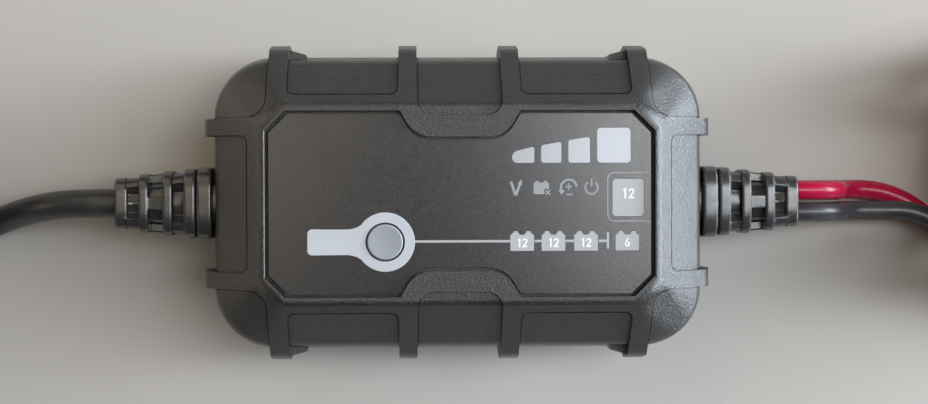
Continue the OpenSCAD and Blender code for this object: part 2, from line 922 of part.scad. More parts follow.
function coil_path(c, r, pitch, rise, turns, layers, a0, hand, z, d, extra = 0) =
    let (
        per = turns / layers,
        all = turns + extra,
        n = ceil(all * coil_steps),
        p = [for (i = [0 : n])
            coil_point(c, r, pitch, rise, per, layers, a0, hand, z, all * i / n)],
        t0 = unit(p[1] - p[0]),
        t1 = unit(p[n] - p[n - 1])
    )
    concat([p[0] - d * t0], p, [p[n] + d * t1]);

// Least distance between the centre lines of different turns, less the tube's diameter.
function self_gap(p, d) = min([
    for (i = [0 : len(p) - 14], j = [i + 13 : len(p) - 1]) norm(p[i] - p[j])
]) - d;
function coil_gap(p, q, d) = min([
    for (i = [0 : len(p) - 1], j = [0 : len(q) - 1]) norm(p[i] - q[j])
]) - d;

// Least and greatest radius of a coil's centre line near the angle a.
function coil_span(path, c, a) = let (
        r = [
            for (p = path)
                let (v = [p[0] - c[0], p[1] - c[1]])
                if (v * [cos(a), sin(a)] > norm(v) * cos(15)) norm(v)
        ]
    )
    [min(r), max(r)];

// ---------------------------------------------------------------- mains cord

tie_gap = 0.2;
ac_pitch = ac_d + 0.5;
ac_centre = [-156, 7];
ac_r = 38;
ac_turn = 40;
ac_layers = 4;
ac_turns = 8 + ac_turn / 360;
ac_z = tie_t + tie_gap + ac_d / 2;
ac_coil = coil_path(ac_centre, ac_r, ac_pitch, ac_pitch, ac_turns, ac_layers, 270 + ac_turn, -1,
    ac_z, ac_d);
ac_top = ac_z + (ac_layers - 1) * ac_pitch + ac_d / 2 + tie_gap;
ac_in = ac_r - ac_pitch * ac_turns / ac_layers;
plug_z = ac_top + tie_t + tie_gap + plug_t / 2;
plug_at = [-155, 19.7, plug_z];
relief_l = 11;

// from the boot down to the coil
ac_run_points = [
    [-half_l - boot_l, 0, part_z],
    [-76.89, 0, 20.79],
    [-81.66, -0.11, 19.73],
    [-86.13, -0.54, 17.82],
    [-90.16, -1.22, 15.13],
    [-93.61, -2.04, 11.77],
    [-97.22, -3.13, 8.66],
    [-101.22, -4.63, 6.28],
    [-105.42, -6.58, 4.73],
    [-109.64, -8.95, 4.03],
    [-113.84, -11.47, 4],
    [-118.03, -13.99, 4],
    [-122.23, -16.51, 4]
];
// from the coil's end over its top layer to the plug
ac_tail_points = [
    [-169.05, -32.09, 23.76],
    [-175.94, -30.29, 24.46],
    [-182.08, -26.7, 25.52],
    [-187.02, -21.57, 26.82],
    [-190.38, -15.29, 28.26],
    [-191.91, -8.33, 29.76],
    [-191.49, -1.22, 31.2],
    [-189.16, 5.51, 32.48],
    [-185.09, 11.35, 33.51],
    [-179.59, 15.87, 34.18],
    [-173.06, 18.72, 34.4],
    [-166.01, 19.7, 34.4]
];
ac_run = concat(ac_run_points, [ac_coil[0]]);
ac_tail = concat([ac_coil[len(ac_coil) - 1]], ac_tail_points, [plug_at]);

// The stretch before a coil and the one after it: their ends are square to what they meet.
module run(path, coil, d, first) { tube(path, d / 2, 8, first, unit(coil[1] - coil[0])); }
module tail(path, coil, d, last) {
    n = len(coil) - 1;
    tube(path, d / 2, 8, unit(coil[n] - coil[n - 1]), last);
}

module ac_cord_run() { color([0.09, 0.09, 0.095]) run(ac_run, ac_coil, ac_d, [-1, 0, 0]); }
module ac_cord_coil() { color([0.09, 0.09, 0.095]) tube(ac_coil, ac_d / 2, 6); }
module ac_cord_tail() {
    color([0.09, 0.09, 0.095]) tail(ac_tail, ac_coil, ac_d, [1, 0, 0]);
}

// A strap round the bundle of a coil, along one of its radii.
module strap(path, c, a, d, high, w) {
    span = coil_span(path, c, a);
    inner = sqrt(pow(span[0], 2) - pow(w / 2, 2)) - d / 2 - tie_gap;
    outer = span[1] + d / 2 + tie_gap;
    translate([c[0], c[1], 0]) rotate([0, 0, a])
    difference() {
        translate([inner - tie_t, -w / 2, 0])
            cube([outer - inner + 2 * tie_t, w, high + tie_t]);
        translate([inner, -w, tie_t]) cube([outer - inner, 2 * w, high - tie_t]);
    }
}

module coil_straps() {
    color([0.12, 0.12, 0.12]) {
        for (a = [38, 160]) strap(ac_coil, ac_centre, a, ac_d, ac_top, 9);
        for (a = [-125, 125]) strap(red_coil, lead_centre, a, lead_d, lead_top, 8);
    }
}

blade_l = 17;
blade_w = 6.35;
blade_t = 1.5;
blade_pitch = 12.7;

// Moulded plug, its blades along +X.
module ac_plug() {
    color([0.1, 0.1, 0.105])
    translate(plug_at) {
        // ribbed strain relief
        rotate([0, 90, 0]) {
            cylinder(r1 = ac_d / 2 + 0.8, r2 = ac_d / 2 + 2.2, h = relief_l);
            for (k = [0 : 2]) translate([0, 0, 1.5 + k * 3])
                cylinder(r = ac_d / 2 + 1.7 + k * 0.5, h = 1.5);
        }
        hull() {
            translate([relief_l - 0.5, 0, 0])
                rotate([0, 90, 0]) cylinder(r = ac_d / 2 + 2.2, h = 1, $fn = 32);
            translate([relief_l + plug_l - 2, 0, 0])
                cube([3, plug_w - 3, plug_t - 3], center = true);
            translate([relief_l + plug_l / 2, 0, 0]) cube([plug_l / 3, plug_w, plug_t], center = true);
        }
    }
}

module ac_plug_blades() {
    color([0.75, 0.7, 0.5])
    translate(plug_at + [relief_l + plug_l - 0.5, 0, 0])
    for (j = [-1, 1])
        difference() {
            translate([0, j * blade_pitch / 2 - blade_t / 2, -blade_w / 2])
                cube([blade_l, blade_t, blade_w]);
            translate([blade_l - 4, 0, 0]) rotate([90, 0, 0])
                cylinder(r = 1.5, h = plug_w, center = true);
        }
}

// ---------------------------------------------------------------- red and black leads

lead_r = 35.6;
lead_step = lead_d + 0.6;
lead_turn = 54;
lead_centre = [144, 7];
lead_layers = 2;
lead_turns = 8 + (lead_turn + 2) / 360;
lead_z = tie_t + tie_gap + lead_d / 2;
lead_top = lead_z + 3 * lead_step + lead_d / 2 + tie_gap;
lead_in = lead_r - lead_step * lead_turns / lead_layers;
black_more = 22 / 360;

// The two leads are wound as a pair, the black one on the red one.
red_coil = coil_path(lead_centre, lead_r, lead_step, 2 * lead_step, lead_turns, lead_layers,
    -90 - lead_turn, 1, lead_z, lead_d);
black_coil = coil_path(lead_centre, lead_r, lead_step, 2 * lead_step, lead_turns, lead_layers,
    -90 - lead_turn, 1, lead_z + lead_step, lead_d, black_more);

red_run_points = [
    [half_l + boot_l, lead_pitch / 2, part_z],
    [75.22, 2.3, 20.92],
    [78.27, 2.3, 19.96],
    [80.82, 2.3, 18.02],
    [82.56, 2.3, 15.33],
    [83.28, 2.3, 12.21],
    [83.9, 2.3, 9.07],
    [85.55, 2.3, 6.32],
    [88.03, 2.3, 4.29],
    [91.05, 2.27, 3.23],
    [94.24, 1.88, 3.1],
    [97.34, 1.02, 3.1],
    [100.28, -0.27, 3.1],
    [103, -1.99, 3.1],
    [105.45, -4.08, 3.1],
    [107.71, -6.37, 3.1],
    [109.98, -8.65, 3.1]
];
black_run_points = [
    [half_l + boot_l, -lead_pitch / 2, part_z],
    [75.26, -2.3, 20.91],
    [78.36, -2.3, 19.92],
    [80.92, -2.3, 17.91],
    [82.63, -2.3, 15.15],
    [83.94, -2.3, 12.17],
    [86.15, -2.3, 9.79],
    [89.05, -2.3, 8.31],
    [92.27, -2.3, 7.9],
    [95.54, -2.3, 7.9],
    [98.81, -2.4, 7.9],
    [101.99, -3.09, 7.9],
    [104.97, -4.42, 7.9],
    [107.62, -6.32, 7.9],
    [109.95, -8.62, 7.9]
];
red_tail_points = [
    [154.24, -29.64, 12.92],
    [159.1, -29.8, 13.53],
    [163.91, -29.08, 14.46],
    [168.5, -27.51, 15.65],
    [172.74, -25.14, 17.03],
    [176.48, -22.04, 18.53],
    [179.6, -18.31, 20.09],
    [182, -14.09, 21.63],
    [183.6, -9.5, 23.08],
    [184.35, -4.7, 24.39],
    [184.05, 0.14, 25.48],
    [182.22, 4.62, 26.28],
    [179.01, 8.24, 26.73],
    [174.77, 10.59, 26.8]
];
black_tail_points = [
    [166.4, -23.18, 17.79],
    [169.72, -20.89, 18.59],
    [172.54, -17.99, 19.74],
    [175.28, -15.01, 21.12],
    [177.85, -11.9, 22.6],
    [179.14, -8.1, 24.04],
    [178.75, -4.1, 25.3],
    [176.77, -0.61, 26.25],
    [173.53, 1.76, 26.75]
];
red_run = concat(red_run_points, [red_coil[0]]);
black_run = concat(black_run_points, [black_coil[0]]);

module red_lead_run() { color([0.75, 0.05, 0.1]) run(red_run, red_coil, lead_d, [1, 0, 0]); }
module red_lead_coil() { color([0.75, 0.05, 0.1]) tube(red_coil, lead_d / 2, 6); }
module black_lead_run() { color([0.08, 0.08, 0.085]) run(black_run, black_coil, lead_d, [1, 0, 0]); }
module black_lead_coil() { color([0.08, 0.08, 0.085]) tube(black_coil, lead_d / 2, 6); }

// ---------------------------------------------------------------- clamps

clamp_mid = lead_top + tie_t + tie_gap + clamp_t / 2;
clamp_x = lead_centre[0] - 14;
clamp_y = 18.4;
handle_l = 34;
handle_in = 11.6;
handle_out = 17.6;
jaw_l = 27;
post_x_in_jaw = 17;
post_hole_r = 6.5;
strip_t = 1;
bite_gap = 0.15;
ear_r = 4;
ear_gap = 0.2;
ear_t = 1.4;
pin_gap = 0.05;
outer_ear = clamp_t / 2 - 0.6 - ear_t;
inner_ear = outer_ear - ear_gap - ear_t;

// Both clamps lie with their jaws to -X, their fixed grips side by side: the red clamp (side 1)
// towards +Y, the black clamp (side -1) towards -Y.
module at_clamp(side) {
    translate([clamp_x, lead_centre[1] + side * clamp_y, clamp_mid])
        mirror([0, side > 0 ? 0 : 1, 0]) rotate([0, 0, 180]) children();
}
function clamp_point(side, p) =
    [clamp_x - p[0], lead_centre[1] + side * (clamp_y - p[1]), clamp_mid + p[2]];

// Profile of the half above the middle line: jaw to +X, handle to -X.
handle_end = -handle_l - 0.8;
handle_x = -10;
handle_y = 10;
handle_rise = (handle_out - handle_y) / (handle_l + handle_x);

module half_profile() {
    polygon([
        [jaw_l, bite_gap], [jaw_l, 3.4], [24.6, 5.8], [post_x_in_jaw, 8.4], [8, 8], [0, 8.6],
        [handle_x, handle_y], [-handle_l, handle_out], [handle_end, handle_out - 0.6],
        [handle_end, handle_in], [handle_x, handle_y / 2], [-4.6, 4.6], [4.4, 4.6],
        [8, 2.4], [9.4, bite_gap]
    ]);
}

// What the toothed strip fills: a layer round the hole for the battery post and along the bite.
module strip_seat(g = 0) {
    translate([post_x_in_jaw, -2]) circle(post_hole_r + strip_t + g);
    translate([9.2 - g, -1]) square([jaw_l - 9.4 + g, strip_t + bite_gap + 1 + g]);
}

module strip_profile() {
    difference() {
        strip_seat();
        translate([post_x_in_jaw, -2]) circle(post_hole_r);
        translate([-far / 2, -far]) square([far, far + bite_gap]);
        // teeth
        for (x = [9.8, 22.9, 24.1, 25.3])
            translate([x, bite_gap]) polygon([[0, -0.1], [0.45, 0.6], [0.9, -0.1]]);
    }
}

bore_l = 4;
bore_y = 14;

// One moulded half, with an ear above and below the middle that the pin passes through.
module clamp_half(ear_z) {
    difference() {
        union() {
            translate([0, 0, -clamp_t / 2]) linear_extrude(clamp_t)
                difference() {
                    half_profile();
                    strip_seat(0.02);
                }
            for (s = [0, 1]) mirror([0, 0, s])
                translate([0, 0, ear_z]) linear_extrude(ear_t) {
                    circle(ear_r);
                    translate([-ear_r, 0]) square([2 * ear_r, 5.5]);
                }
        }
        cylinder(r = pin_r + pin_gap, h = 2 * clamp_t, center = true);
        // grip grooves across the handle
        for (x = [-13.5 : -3.3 : -27])
            translate([x, handle_y + (handle_x - x) * handle_rise, 0])
                cylinder(r = 0.8, h = 2 * clamp_t, center = true);
    }
}

module clamp_grip(side, colour) {
    at_clamp(side) color(colour)
    difference() {
        clamp_half(inner_ear);
        // bore for the lead in the handle's end
        translate([handle_end - 1, bore_y, 0]) rotate([0, 90, 0])
            cylinder(r = lead_d / 2 + 0.02, h = bore_l + 1);
    }
}

module clamp_lever(side, colour) {
    at_clamp(side) color(colour) mirror([0, 1, 0]) clamp_half(outer_ear);
}

module clamp_strip(side, half) {
    at_clamp(side) color([0.72, 0.45, 0.25])
        mirror([0, half, 0]) translate([0, 0, 1 - clamp_t / 2])
            linear_extrude(clamp_t - 2) strip_profile();
}

module clamp_pin(side) {
    at_clamp(side) color([0.7, 0.7, 0.72]) {
        cylinder(r = pin_r, h = clamp_t - 1, center = true);
        for (s = [0, 1]) mirror([0, 0, s])
            translate([0, 0, outer_ear + ear_t + 0.02]) cylinder(r = pin_r + 0.9, h = 0.5);
    }
}

// Torsion spring round the pin: its curls, and two legs that bear on the handles.
spring_r = pin_r + 0.3 + spring_d / 2;
curls = 2.5;
spring_z = inner_ear - spring_d / 2 - 0.1;
spring_leg = [-12.5, 5.6 - spring_d / 2 - 0.1, spring_z];
spring_curls = [
    for (i = [0 : 8 * curls]) let (b = 360 * i / 8 - 90)
        [spring_r * cos(b), spring_r * sin(b), spring_z * (2 * i / 8 / curls - 1)]
];
spring_path = concat(
    [[spring_leg[0], -spring_leg[1], -spring_leg[2]], [-3, -spring_r - 0.25, -spring_z]],
    spring_curls,
    [[-3, spring_r + 0.25, spring_z], spring_leg]
);

module clamp_spring(side) {
    at_clamp(side) color([0.6, 0.6, 0.62]) tube(spring_path, spring_d / 2, 6);
}

// The leads' ends: from the coils into the bores of the clamps.
function lead_ending(side) =
    [for (x = [-4.4, -0.4, bore_l - 0.2]) clamp_point(side, [x - handle_l - 0.8, bore_y, 0])];
red_tail = concat([red_coil[len(red_coil) - 1]], red_tail_points, lead_ending(1));
black_tail = concat([black_coil[len(black_coil) - 1]], black_tail_points, lead_ending(-1));

module red_lead_tail() { color([0.75, 0.05, 0.1]) tail(red_tail, red_coil, lead_d, [-1, 0, 0]); }
module black_lead_tail() {
    color([0.08, 0.08, 0.085]) tail(black_tail, black_coil, lead_d, [-1, 0, 0]);
}

module red_clamp_grip() { clamp_grip(1, [0.7, 0.08, 0.08]); }
module red_clamp_lever() { clamp_lever(1, [0.7, 0.08, 0.08]); }
module red_grip_plate() { clamp_strip(1, 0); }
module red_lever_plate() { clamp_strip(1, 1); }
module red_clamp_pin() { clamp_pin(1); }
module red_clamp_spring() { clamp_spring(1); }
module black_clamp_grip() { clamp_grip(-1, [0.1, 0.1, 0.1]); }
module black_clamp_lever() { clamp_lever(-1, [0.1, 0.1, 0.1]); }
module black_grip_plate() { clamp_strip(-1, 0); }
module black_lever_plate() { clamp_strip(-1, 1); }
module black_clamp_pin() { clamp_pin(-1); }
module black_clamp_spring() { clamp_spring(-1); }

echo(ac_coil_gap = self_gap(ac_coil, ac_d));
echo(red_coil_gap = self_gap(red_coil, lead_d));
echo(black_coil_gap = self_gap(black_coil, lead_d));
echo(red_to_black_gap = coil_gap(red_coil, black_coil, lead_d));
echo(spring_gap = spring_z * 2 / curls - spring_d);

upper_case();
lower_case();
case_seal();
case_screws();
rating_plate();
face_plate();
mode_ring();
level_windows();
status_icons();
repair_window();
mode_icons();
mode_button();
switch_plunger();
button_switch();
light_guide();
display_board();
leds();
control_chip();
board_link();
main_board();
board_screws();
transformer_core();
transformer_winding();
choke_core();
choke_winding();
bulk_capacitor();
film_capacitor();
output_capacitors();
rectifier();
power_transistors();
heat_sink();
fuse();
ac_boot();
dc_boot();
ac_wires();
dc_wires();
ac_cord_run();
ac_cord_coil();
ac_cord_tail();
ac_plug();
ac_plug_blades();
red_lead_run();
red_lead_coil();
red_lead_tail();
black_lead_run();
black_lead_coil();
black_lead_tail();
coil_straps();
red_clamp_grip();
red_clamp_lever();
red_grip_plate();
red_lever_plate();
red_clamp_pin();
red_clamp_spring();
black_clamp_grip();
black_clamp_lever();
black_grip_plate();
black_lever_plate();
black_clamp_pin();
black_clamp_spring();
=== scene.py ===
# %% [markdown]
# # A car battery charger
#
# A small sealed charger: a ribbed two-part case with a sunk face plate, a mode button in a pale
# ring, light windows, a slotted rubber boot at each end, a mains lead with a moulded plug, and a
# red and a black lead with a spring clamp each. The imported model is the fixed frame. Each visible
# piece is made again here with its soft edges, prints and surface, in the same place.

import json
import math

import bmesh
import bpy
from mathutils import Matrix, Vector
from mathutils.bvhtree import BVHTree


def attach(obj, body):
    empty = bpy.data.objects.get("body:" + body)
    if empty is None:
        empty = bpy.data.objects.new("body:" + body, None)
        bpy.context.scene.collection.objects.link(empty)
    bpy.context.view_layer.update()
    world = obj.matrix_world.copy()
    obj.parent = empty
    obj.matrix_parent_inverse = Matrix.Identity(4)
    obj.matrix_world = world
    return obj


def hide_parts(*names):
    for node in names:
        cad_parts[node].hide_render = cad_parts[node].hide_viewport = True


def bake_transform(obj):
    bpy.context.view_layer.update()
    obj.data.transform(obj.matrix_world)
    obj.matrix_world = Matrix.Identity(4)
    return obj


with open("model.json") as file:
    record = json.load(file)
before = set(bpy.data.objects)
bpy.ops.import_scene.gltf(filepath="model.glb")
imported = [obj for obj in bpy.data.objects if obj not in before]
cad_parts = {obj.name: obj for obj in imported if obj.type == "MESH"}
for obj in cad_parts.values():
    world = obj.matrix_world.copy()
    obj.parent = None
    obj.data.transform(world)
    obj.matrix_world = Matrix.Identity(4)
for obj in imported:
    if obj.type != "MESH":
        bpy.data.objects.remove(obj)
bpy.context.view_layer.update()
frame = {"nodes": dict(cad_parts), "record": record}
nodes = frame["nodes"]
MM = 0.001

# %% [markdown]
# ## The camera
#
# The charger lies face up and is looked at from almost straight above with a short telephoto
# lens, so its side walls show only a little. A wide lens close by would show far more of them, and
# an orthographic view none. The lens is given in millimetres on a 36 mm sensor.

# %% Camera
CAMERA_PLACE = (-0.010666, 0.006277, 0.42425)
CAMERA_TURNS = (-0.88, -1.71, -0.18)
LENS, SENSOR, NEAREST = 73.616, 36, 0.01

bpy.ops.object.camera_add(location=CAMERA_PLACE,
                          rotation=[math.radians(turn) for turn in CAMERA_TURNS])
camera = bpy.context.object
camera.name = "camera"
camera.data.lens = LENS
camera.data.sensor_width = SENSOR
camera.data.clip_start = NEAREST
bpy.context.scene.camera = camera
print("camera", tuple(round(c, 4) for c in camera.location), "lens", camera.data.lens)

# %% [markdown]
# ## The cords
#
# A cord is a soft tube of one length. It leaves its boot straight, sags to the floor within a few
# centimetres and is put away as a round coil, held by two straps. One open line with thickness is
# the natural way to make it: the line is the cord's centre, and the thickness is its jacket. The
# coil's turns lie a cord's width apart, in layers that wind in and out in turn.

# %% How a coil runs
TURN_STEPS = 72


def ease(x):
    t = min(max(x, 0), 1)
    return t * t * (3 - 2 * t)


def wave(x):
    m = x - 2 * math.floor(x / 2)
    return m if m < 1 else 2 - m


def coil(centre, radius, pitch, rise, turns, layers, start, hand, low, lead, extra=0):
    """Points of a coil: its layers wind inwards and outwards in turn, each higher by the rise.
    hand is 1 for a coil that winds counter-clockwise, and lead is the straight bit at its ends."""
    per, whole = turns / layers, turns + extra
    steps = math.ceil(whole * TURN_STEPS)
    points = []
    for step in range(steps + 1):
        t = whole * step / steps
        if t > layers * per:
            reach = radius + pitch * (t - layers * per)
        else:
            reach = radius - pitch * per * wave(t / per)
        angle = math.radians(start + hand * 360 * t)
        climb = sum(ease((t - k * per) / 0.5 + 0.5) for k in range(1, layers))
        points.append(Vector((centre[0] + reach * math.cos(angle),
                              centre[1] + reach * math.sin(angle), low + rise * climb)))
    first = points[0] - lead * (points[1] - points[0]).normalized()
    last = points[-1] + lead * (points[-1] - points[-2]).normalized()
    return [first] + points + [last]


# %% How a route runs into its coil and out of it
def smooth_way(points, before, after, steps=5):
    """Fills a route with points of a smooth curve through all of its own."""
    way = [Vector(before)] + [Vector(p) for p in points] + [Vector(after)]
    fine = []
    for i in range(1, len(way) - 2):
        a, b, c, d = way[i - 1:i + 3]
        for k in range(steps):
            t = k / steps
            fine.append(0.5 * (2 * b + (c - a) * t + (2 * a - 5 * b + 4 * c - d) * t * t
                               + (3 * b - a - 3 * c + d) * t ** 3))
    return fine + [way[-2]]


def route_of(run, wound, tail):
    """One line from the boot through the coil to the far end, in millimetres."""
    way_in = smooth_way(run + [wound[0]], 2 * Vector(run[0]) - Vector(run[1]), wound[1])
    way_out = smooth_way([wound[-1]] + tail, wound[-2], 2 * Vector(tail[-1]) - Vector(tail[-2]))
    return way_in + wound[1:-1] + way_out


def length_of(points):
    return sum((b - a).length for a, b in zip(points, points[1:])) * MM


# %% Runs to the coils and tails behind them, in millimetres
AC_D, LEAD_D = 6, 4.2
ac_run = [(-72, 0, 21), (-76.89, 0, 20.79), (-81.66, -0.11, 19.73), (-86.13, -0.54, 17.82),
          (-90.16, -1.22, 15.13), (-93.61, -2.04, 11.77), (-97.22, -3.13, 8.66),
          (-101.22, -4.63, 6.28), (-105.42, -6.58, 4.73), (-109.64, -8.95, 4.03),
          (-113.84, -11.47, 4), (-118.03, -13.99, 4), (-122.23, -16.51, 4)]
ac_tail = [(-169.05, -32.09, 23.76), (-175.94, -30.29, 24.46), (-182.08, -26.7, 25.52),
           (-187.02, -21.57, 26.82), (-190.38, -15.29, 28.26), (-191.91, -8.33, 29.76),
           (-191.49, -1.22, 31.2), (-189.16, 5.51, 32.48), (-185.09, 11.35, 33.51),
           (-179.59, 15.87, 34.18), (-173.06, 18.72, 34.4), (-166.01, 19.7, 34.4),
           (-155, 19.7, 34.4)]
red_run = [(72, 2.3, 21), (75.22, 2.3, 20.92), (78.27, 2.3, 19.96), (80.82, 2.3, 18.02),
           (82.56, 2.3, 15.33), (83.28, 2.3, 12.21), (83.9, 2.3, 9.07), (85.55, 2.3, 6.32),
           (88.03, 2.3, 4.29), (91.05, 2.27, 3.23), (94.24, 1.88, 3.1), (97.34, 1.02, 3.1),
           (100.28, -0.27, 3.1), (103, -1.99, 3.1), (105.45, -4.08, 3.1), (107.71, -6.37, 3.1),
           (109.98, -8.65, 3.1)]
red_tail = [(154.24, -29.64, 12.92), (159.1, -29.8, 13.53), (163.91, -29.08, 14.46),
            (168.5, -27.51, 15.65), (172.74, -25.14, 17.03), (176.48, -22.04, 18.53),
            (179.6, -18.31, 20.09), (182, -14.09, 21.63), (183.6, -9.5, 23.08),
            (184.35, -4.7, 24.39), (184.05, 0.14, 25.48), (182.22, 4.62, 26.28),
            (179.01, 8.24, 26.73), (174.77, 10.59, 26.8), (169.2, 11.4, 26.8),
            (165.2, 11.4, 26.8), (161, 11.4, 26.8)]
black_run = [(72, -2.3, 21), (75.26, -2.3, 20.91), (78.36, -2.3, 19.92), (80.92, -2.3, 17.91),
             (82.63, -2.3, 15.15), (83.94, -2.3, 12.17), (86.15, -2.3, 9.79),
             (89.05, -2.3, 8.31), (92.27, -2.3, 7.9), (95.54, -2.3, 7.9), (98.81, -2.4, 7.9),
             (101.99, -3.09, 7.9), (104.97, -4.42, 7.9), (107.62, -6.32, 7.9),
             (109.95, -8.62, 7.9)]
black_tail = [(166.4, -23.18, 17.79), (169.72, -20.89, 18.59), (172.54, -17.99, 19.74),
              (175.28, -15.01, 21.12), (177.85, -11.9, 22.6), (179.14, -8.1, 24.04),
              (178.75, -4.1, 25.3), (176.77, -0.61, 26.25), (173.53, 1.76, 26.75),
              (169.2, 2.6, 26.8), (165.2, 2.6, 26.8), (161, 2.6, 26.8)]
print("runs of", len(ac_run), len(red_run), len(black_run), "points")

# %% Coils and whole routes
AC_CENTRE, LEAD_CENTRE = (-156, 7), (144, 7)
ac_coil = coil(AC_CENTRE, radius=38, pitch=6.5, rise=6.5, turns=8 + 40 / 360, layers=4,
               start=310, hand=-1, low=4, lead=AC_D)
lead_winding = {"centre": LEAD_CENTRE, "radius": 35.6, "pitch": 4.8, "rise": 9.6,
                "turns": 8 + 56 / 360, "layers": 2, "start": -144, "hand": 1, "lead": LEAD_D}
red_coil = coil(low=3.1, **lead_winding)
black_coil = coil(low=7.9, extra=22 / 360, **lead_winding)
routes = {
    "mains_cord": route_of(ac_run, ac_coil, ac_tail),
    "red_lead": route_of(red_run, red_coil, red_tail),
    "black_lead": route_of(black_run, black_coil, black_tail),
}
for title, route in routes.items():
    print(title, "is", round(length_of(route), 3), "m long,", len(route), "points")


# %% New pieces and lines
def new_piece(name, data):
    piece = bpy.data.objects.new(name, data)
    bpy.context.scene.collection.objects.link(piece)
    return piece


def new_line(name, ways, **settings):
    """A curve piece with a line through each list of places in millimetres. Flat ones close."""
    line = bpy.data.curves.new(name, "CURVE")
    for key, value in settings.items():
        setattr(line, key, value)
    for way in ways:
        spline = line.splines.new("POLY")
        spline.points.add(len(way) - 1)
        spline.use_cyclic_u = line.dimensions == "2D"
        for knot, place in zip(spline.points, way):
            knot.co = (*[c * MM for c in (*place, 0)[:3]], 1)
    return new_piece(name, line)


# %% Cords as one line each, with the thickness of their jacket
def make_cord(name, route, diameter):
    """A cord whose points hold its radius, over a profile of radius 1."""
    cord = new_line(name, [route], dimensions="3D", bevel_depth=1, bevel_resolution=4,
                    use_fill_caps=True)
    for knot in cord.data.splines[0].points:
        knot.radius = diameter / 2 * MM
    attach(cord, "charger")
    return cord


mains_cord = make_cord("mains_cord", routes["mains_cord"], AC_D)
red_lead = make_cord("red_lead", routes["red_lead"], LEAD_D)
black_lead = make_cord("black_lead", routes["black_lead"], LEAD_D)
for cord, stem, slot in ((mains_cord, "ac_cord", "cord_black"), (red_lead, "red_lead", "lead_red"),
                         (black_lead, "black_lead", "lead_black")):
    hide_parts(*(f"{stem}_{part}" for part in ("run", "coil", "tail")))
    print(cord.name, "is one line of", len(cord.data.splines[0].points), "points")

# %% [markdown]
# ## Effects that many finishes share
#
# Moulded plastic is never one flat colour. Its mould was etched by sparks, so the skin is a fine
# field of grains, on which paler flecks are painted as painted glints. Its edges are rubbed paler by
# hands and boxes, its hollows get painted shade, a little dust settles on what faces up, and the
# colour drifts softly from place to place. A painted picture could hold all this, but it would
# stretch and would have to be made for each piece. So each effect is built once as a node group
# and then placed in each material with its own values.

# %% Helpers for nodes
def fill_sockets(tree, node, sockets):
    """Fills the named sockets of a node, each with a number, a colour or a link."""
    for key, value in sockets.items():
        if isinstance(value, bpy.types.NodeSocket):
            tree.links.new(value, node.inputs[key])
        else:
            node.inputs[key].default_value = value


def put(tree, kind, sockets=None, **settings):
    """Adds a node, gives it its settings and fills its sockets."""
    node = tree.nodes.new("ShaderNode" + kind)
    for key, value in settings.items():
        setattr(node, key, value)
    fill_sockets(tree, node, sockets or {})
    return node


def new_group(name, inputs, outputs):
    """An empty shader group with named number inputs and outputs."""
    group = bpy.data.node_groups.new(name, "ShaderNodeTree")
    for title, value in inputs.items():
        socket = group.interface.new_socket(title, in_out="INPUT", socket_type="NodeSocketFloat")
        socket.default_value = value
    for title in outputs:
        group.interface.new_socket(title, in_out="OUTPUT", socket_type="NodeSocketFloat")
    return group, group.nodes.new("NodeGroupInput"), group.nodes.new("NodeGroupOutput")


# %% Arithmetic, ranges and noise
def calc(tree, operation, a, b=0.0):
    """One step of arithmetic between two numbers or sockets."""
    return put(tree, "Math", {0: a, 1: b}, operation=operation).outputs[0]


def spread(tree, value, low, high, to_low=0.0, to_high=1.0):
    """Maps low..high to another range and stops at its ends."""
    return put(tree, "MapRange", {"Value": value, "From Min": low, "From Max": high,
                                  "To Min": to_low, "To Max": to_high}).outputs[0]


def object_place(tree):
    return put(tree, "TexCoord").outputs["Object"]


def noise(tree, scale, detail, roughness=0.5, place=None):
    """Soft noise from 0 to 1, on the piece's own coordinates unless a place is given."""
    place = place if place is not None else object_place(tree)
    return put(tree, "TexNoise", {"Vector": place, "Scale": scale, "Detail": detail,
                                  "Roughness": roughness}).outputs[0]


# %% Group: spark grain, and painted glints on it
grain_group, given, result = new_group(
    "Spark grain", {"Grain": 3000.0, "Mottle": 700.0}, ("Height", "Painted glint"))
fine = noise(grain_group, given.outputs["Grain"], 2.0, 0.6)
coarse = noise(grain_group, given.outputs["Mottle"], 3.0, 0.55)
height = calc(grain_group, "ADD", calc(grain_group, "MULTIPLY", fine, 0.6),
              calc(grain_group, "MULTIPLY", coarse, 0.4))
# paler flecks on the grain's peaks, mixed into the colour as painted glints
painted_glints = spread(grain_group, fine, 0.58, 0.74)
fill_sockets(grain_group, result, {"Height": height, "Painted glint": painted_glints})

# %% Group: rubbed edges
rub_group, given, result = new_group("Rubbed edges", {"Breakup": 260.0}, ("Mask",))
edge = put(rub_group, "Attribute", attribute_name="edge").outputs["Fac"]
breakup = noise(rub_group, given.outputs["Breakup"], 4.0, 0.65)
worn = calc(rub_group, "MULTIPLY", edge, spread(rub_group, breakup, 0.38, 0.68, 0.25, 1.0))
fill_sockets(rub_group, result, {"Mask": worn})

# %% Group: painted shade in creases
# the hollow roundings are painted darker, as painted shade where shade falls
painted_shade_group, given, result = new_group("Painted crease shade", {"Strength": 1.0}, ("Mask",))
painted_crease_shade = put(painted_shade_group, "Attribute", attribute_name="painted_crease_shade").outputs["Fac"]
darker = calc(painted_shade_group, "MULTIPLY", spread(painted_shade_group, painted_crease_shade, 0.0, 0.6),
              given.outputs["Strength"])
fill_sockets(painted_shade_group, result, {"Mask": darker})

# %% Group: dust on what faces up
dust_group, given, result = new_group("Settled dust", {"Patches": 90.0}, ("Mask",))
lie = put(dust_group, "SeparateXYZ", {0: put(dust_group, "NewGeometry").outputs["Normal"]})
patches = noise(dust_group, given.outputs["Patches"], 6.0, 0.7)
settled = calc(dust_group, "MULTIPLY", spread(dust_group, lie.outputs["Z"], 0.2, 1.0),
               spread(dust_group, patches, 0.45, 0.75))
fill_sockets(dust_group, result, {"Mask": settled})

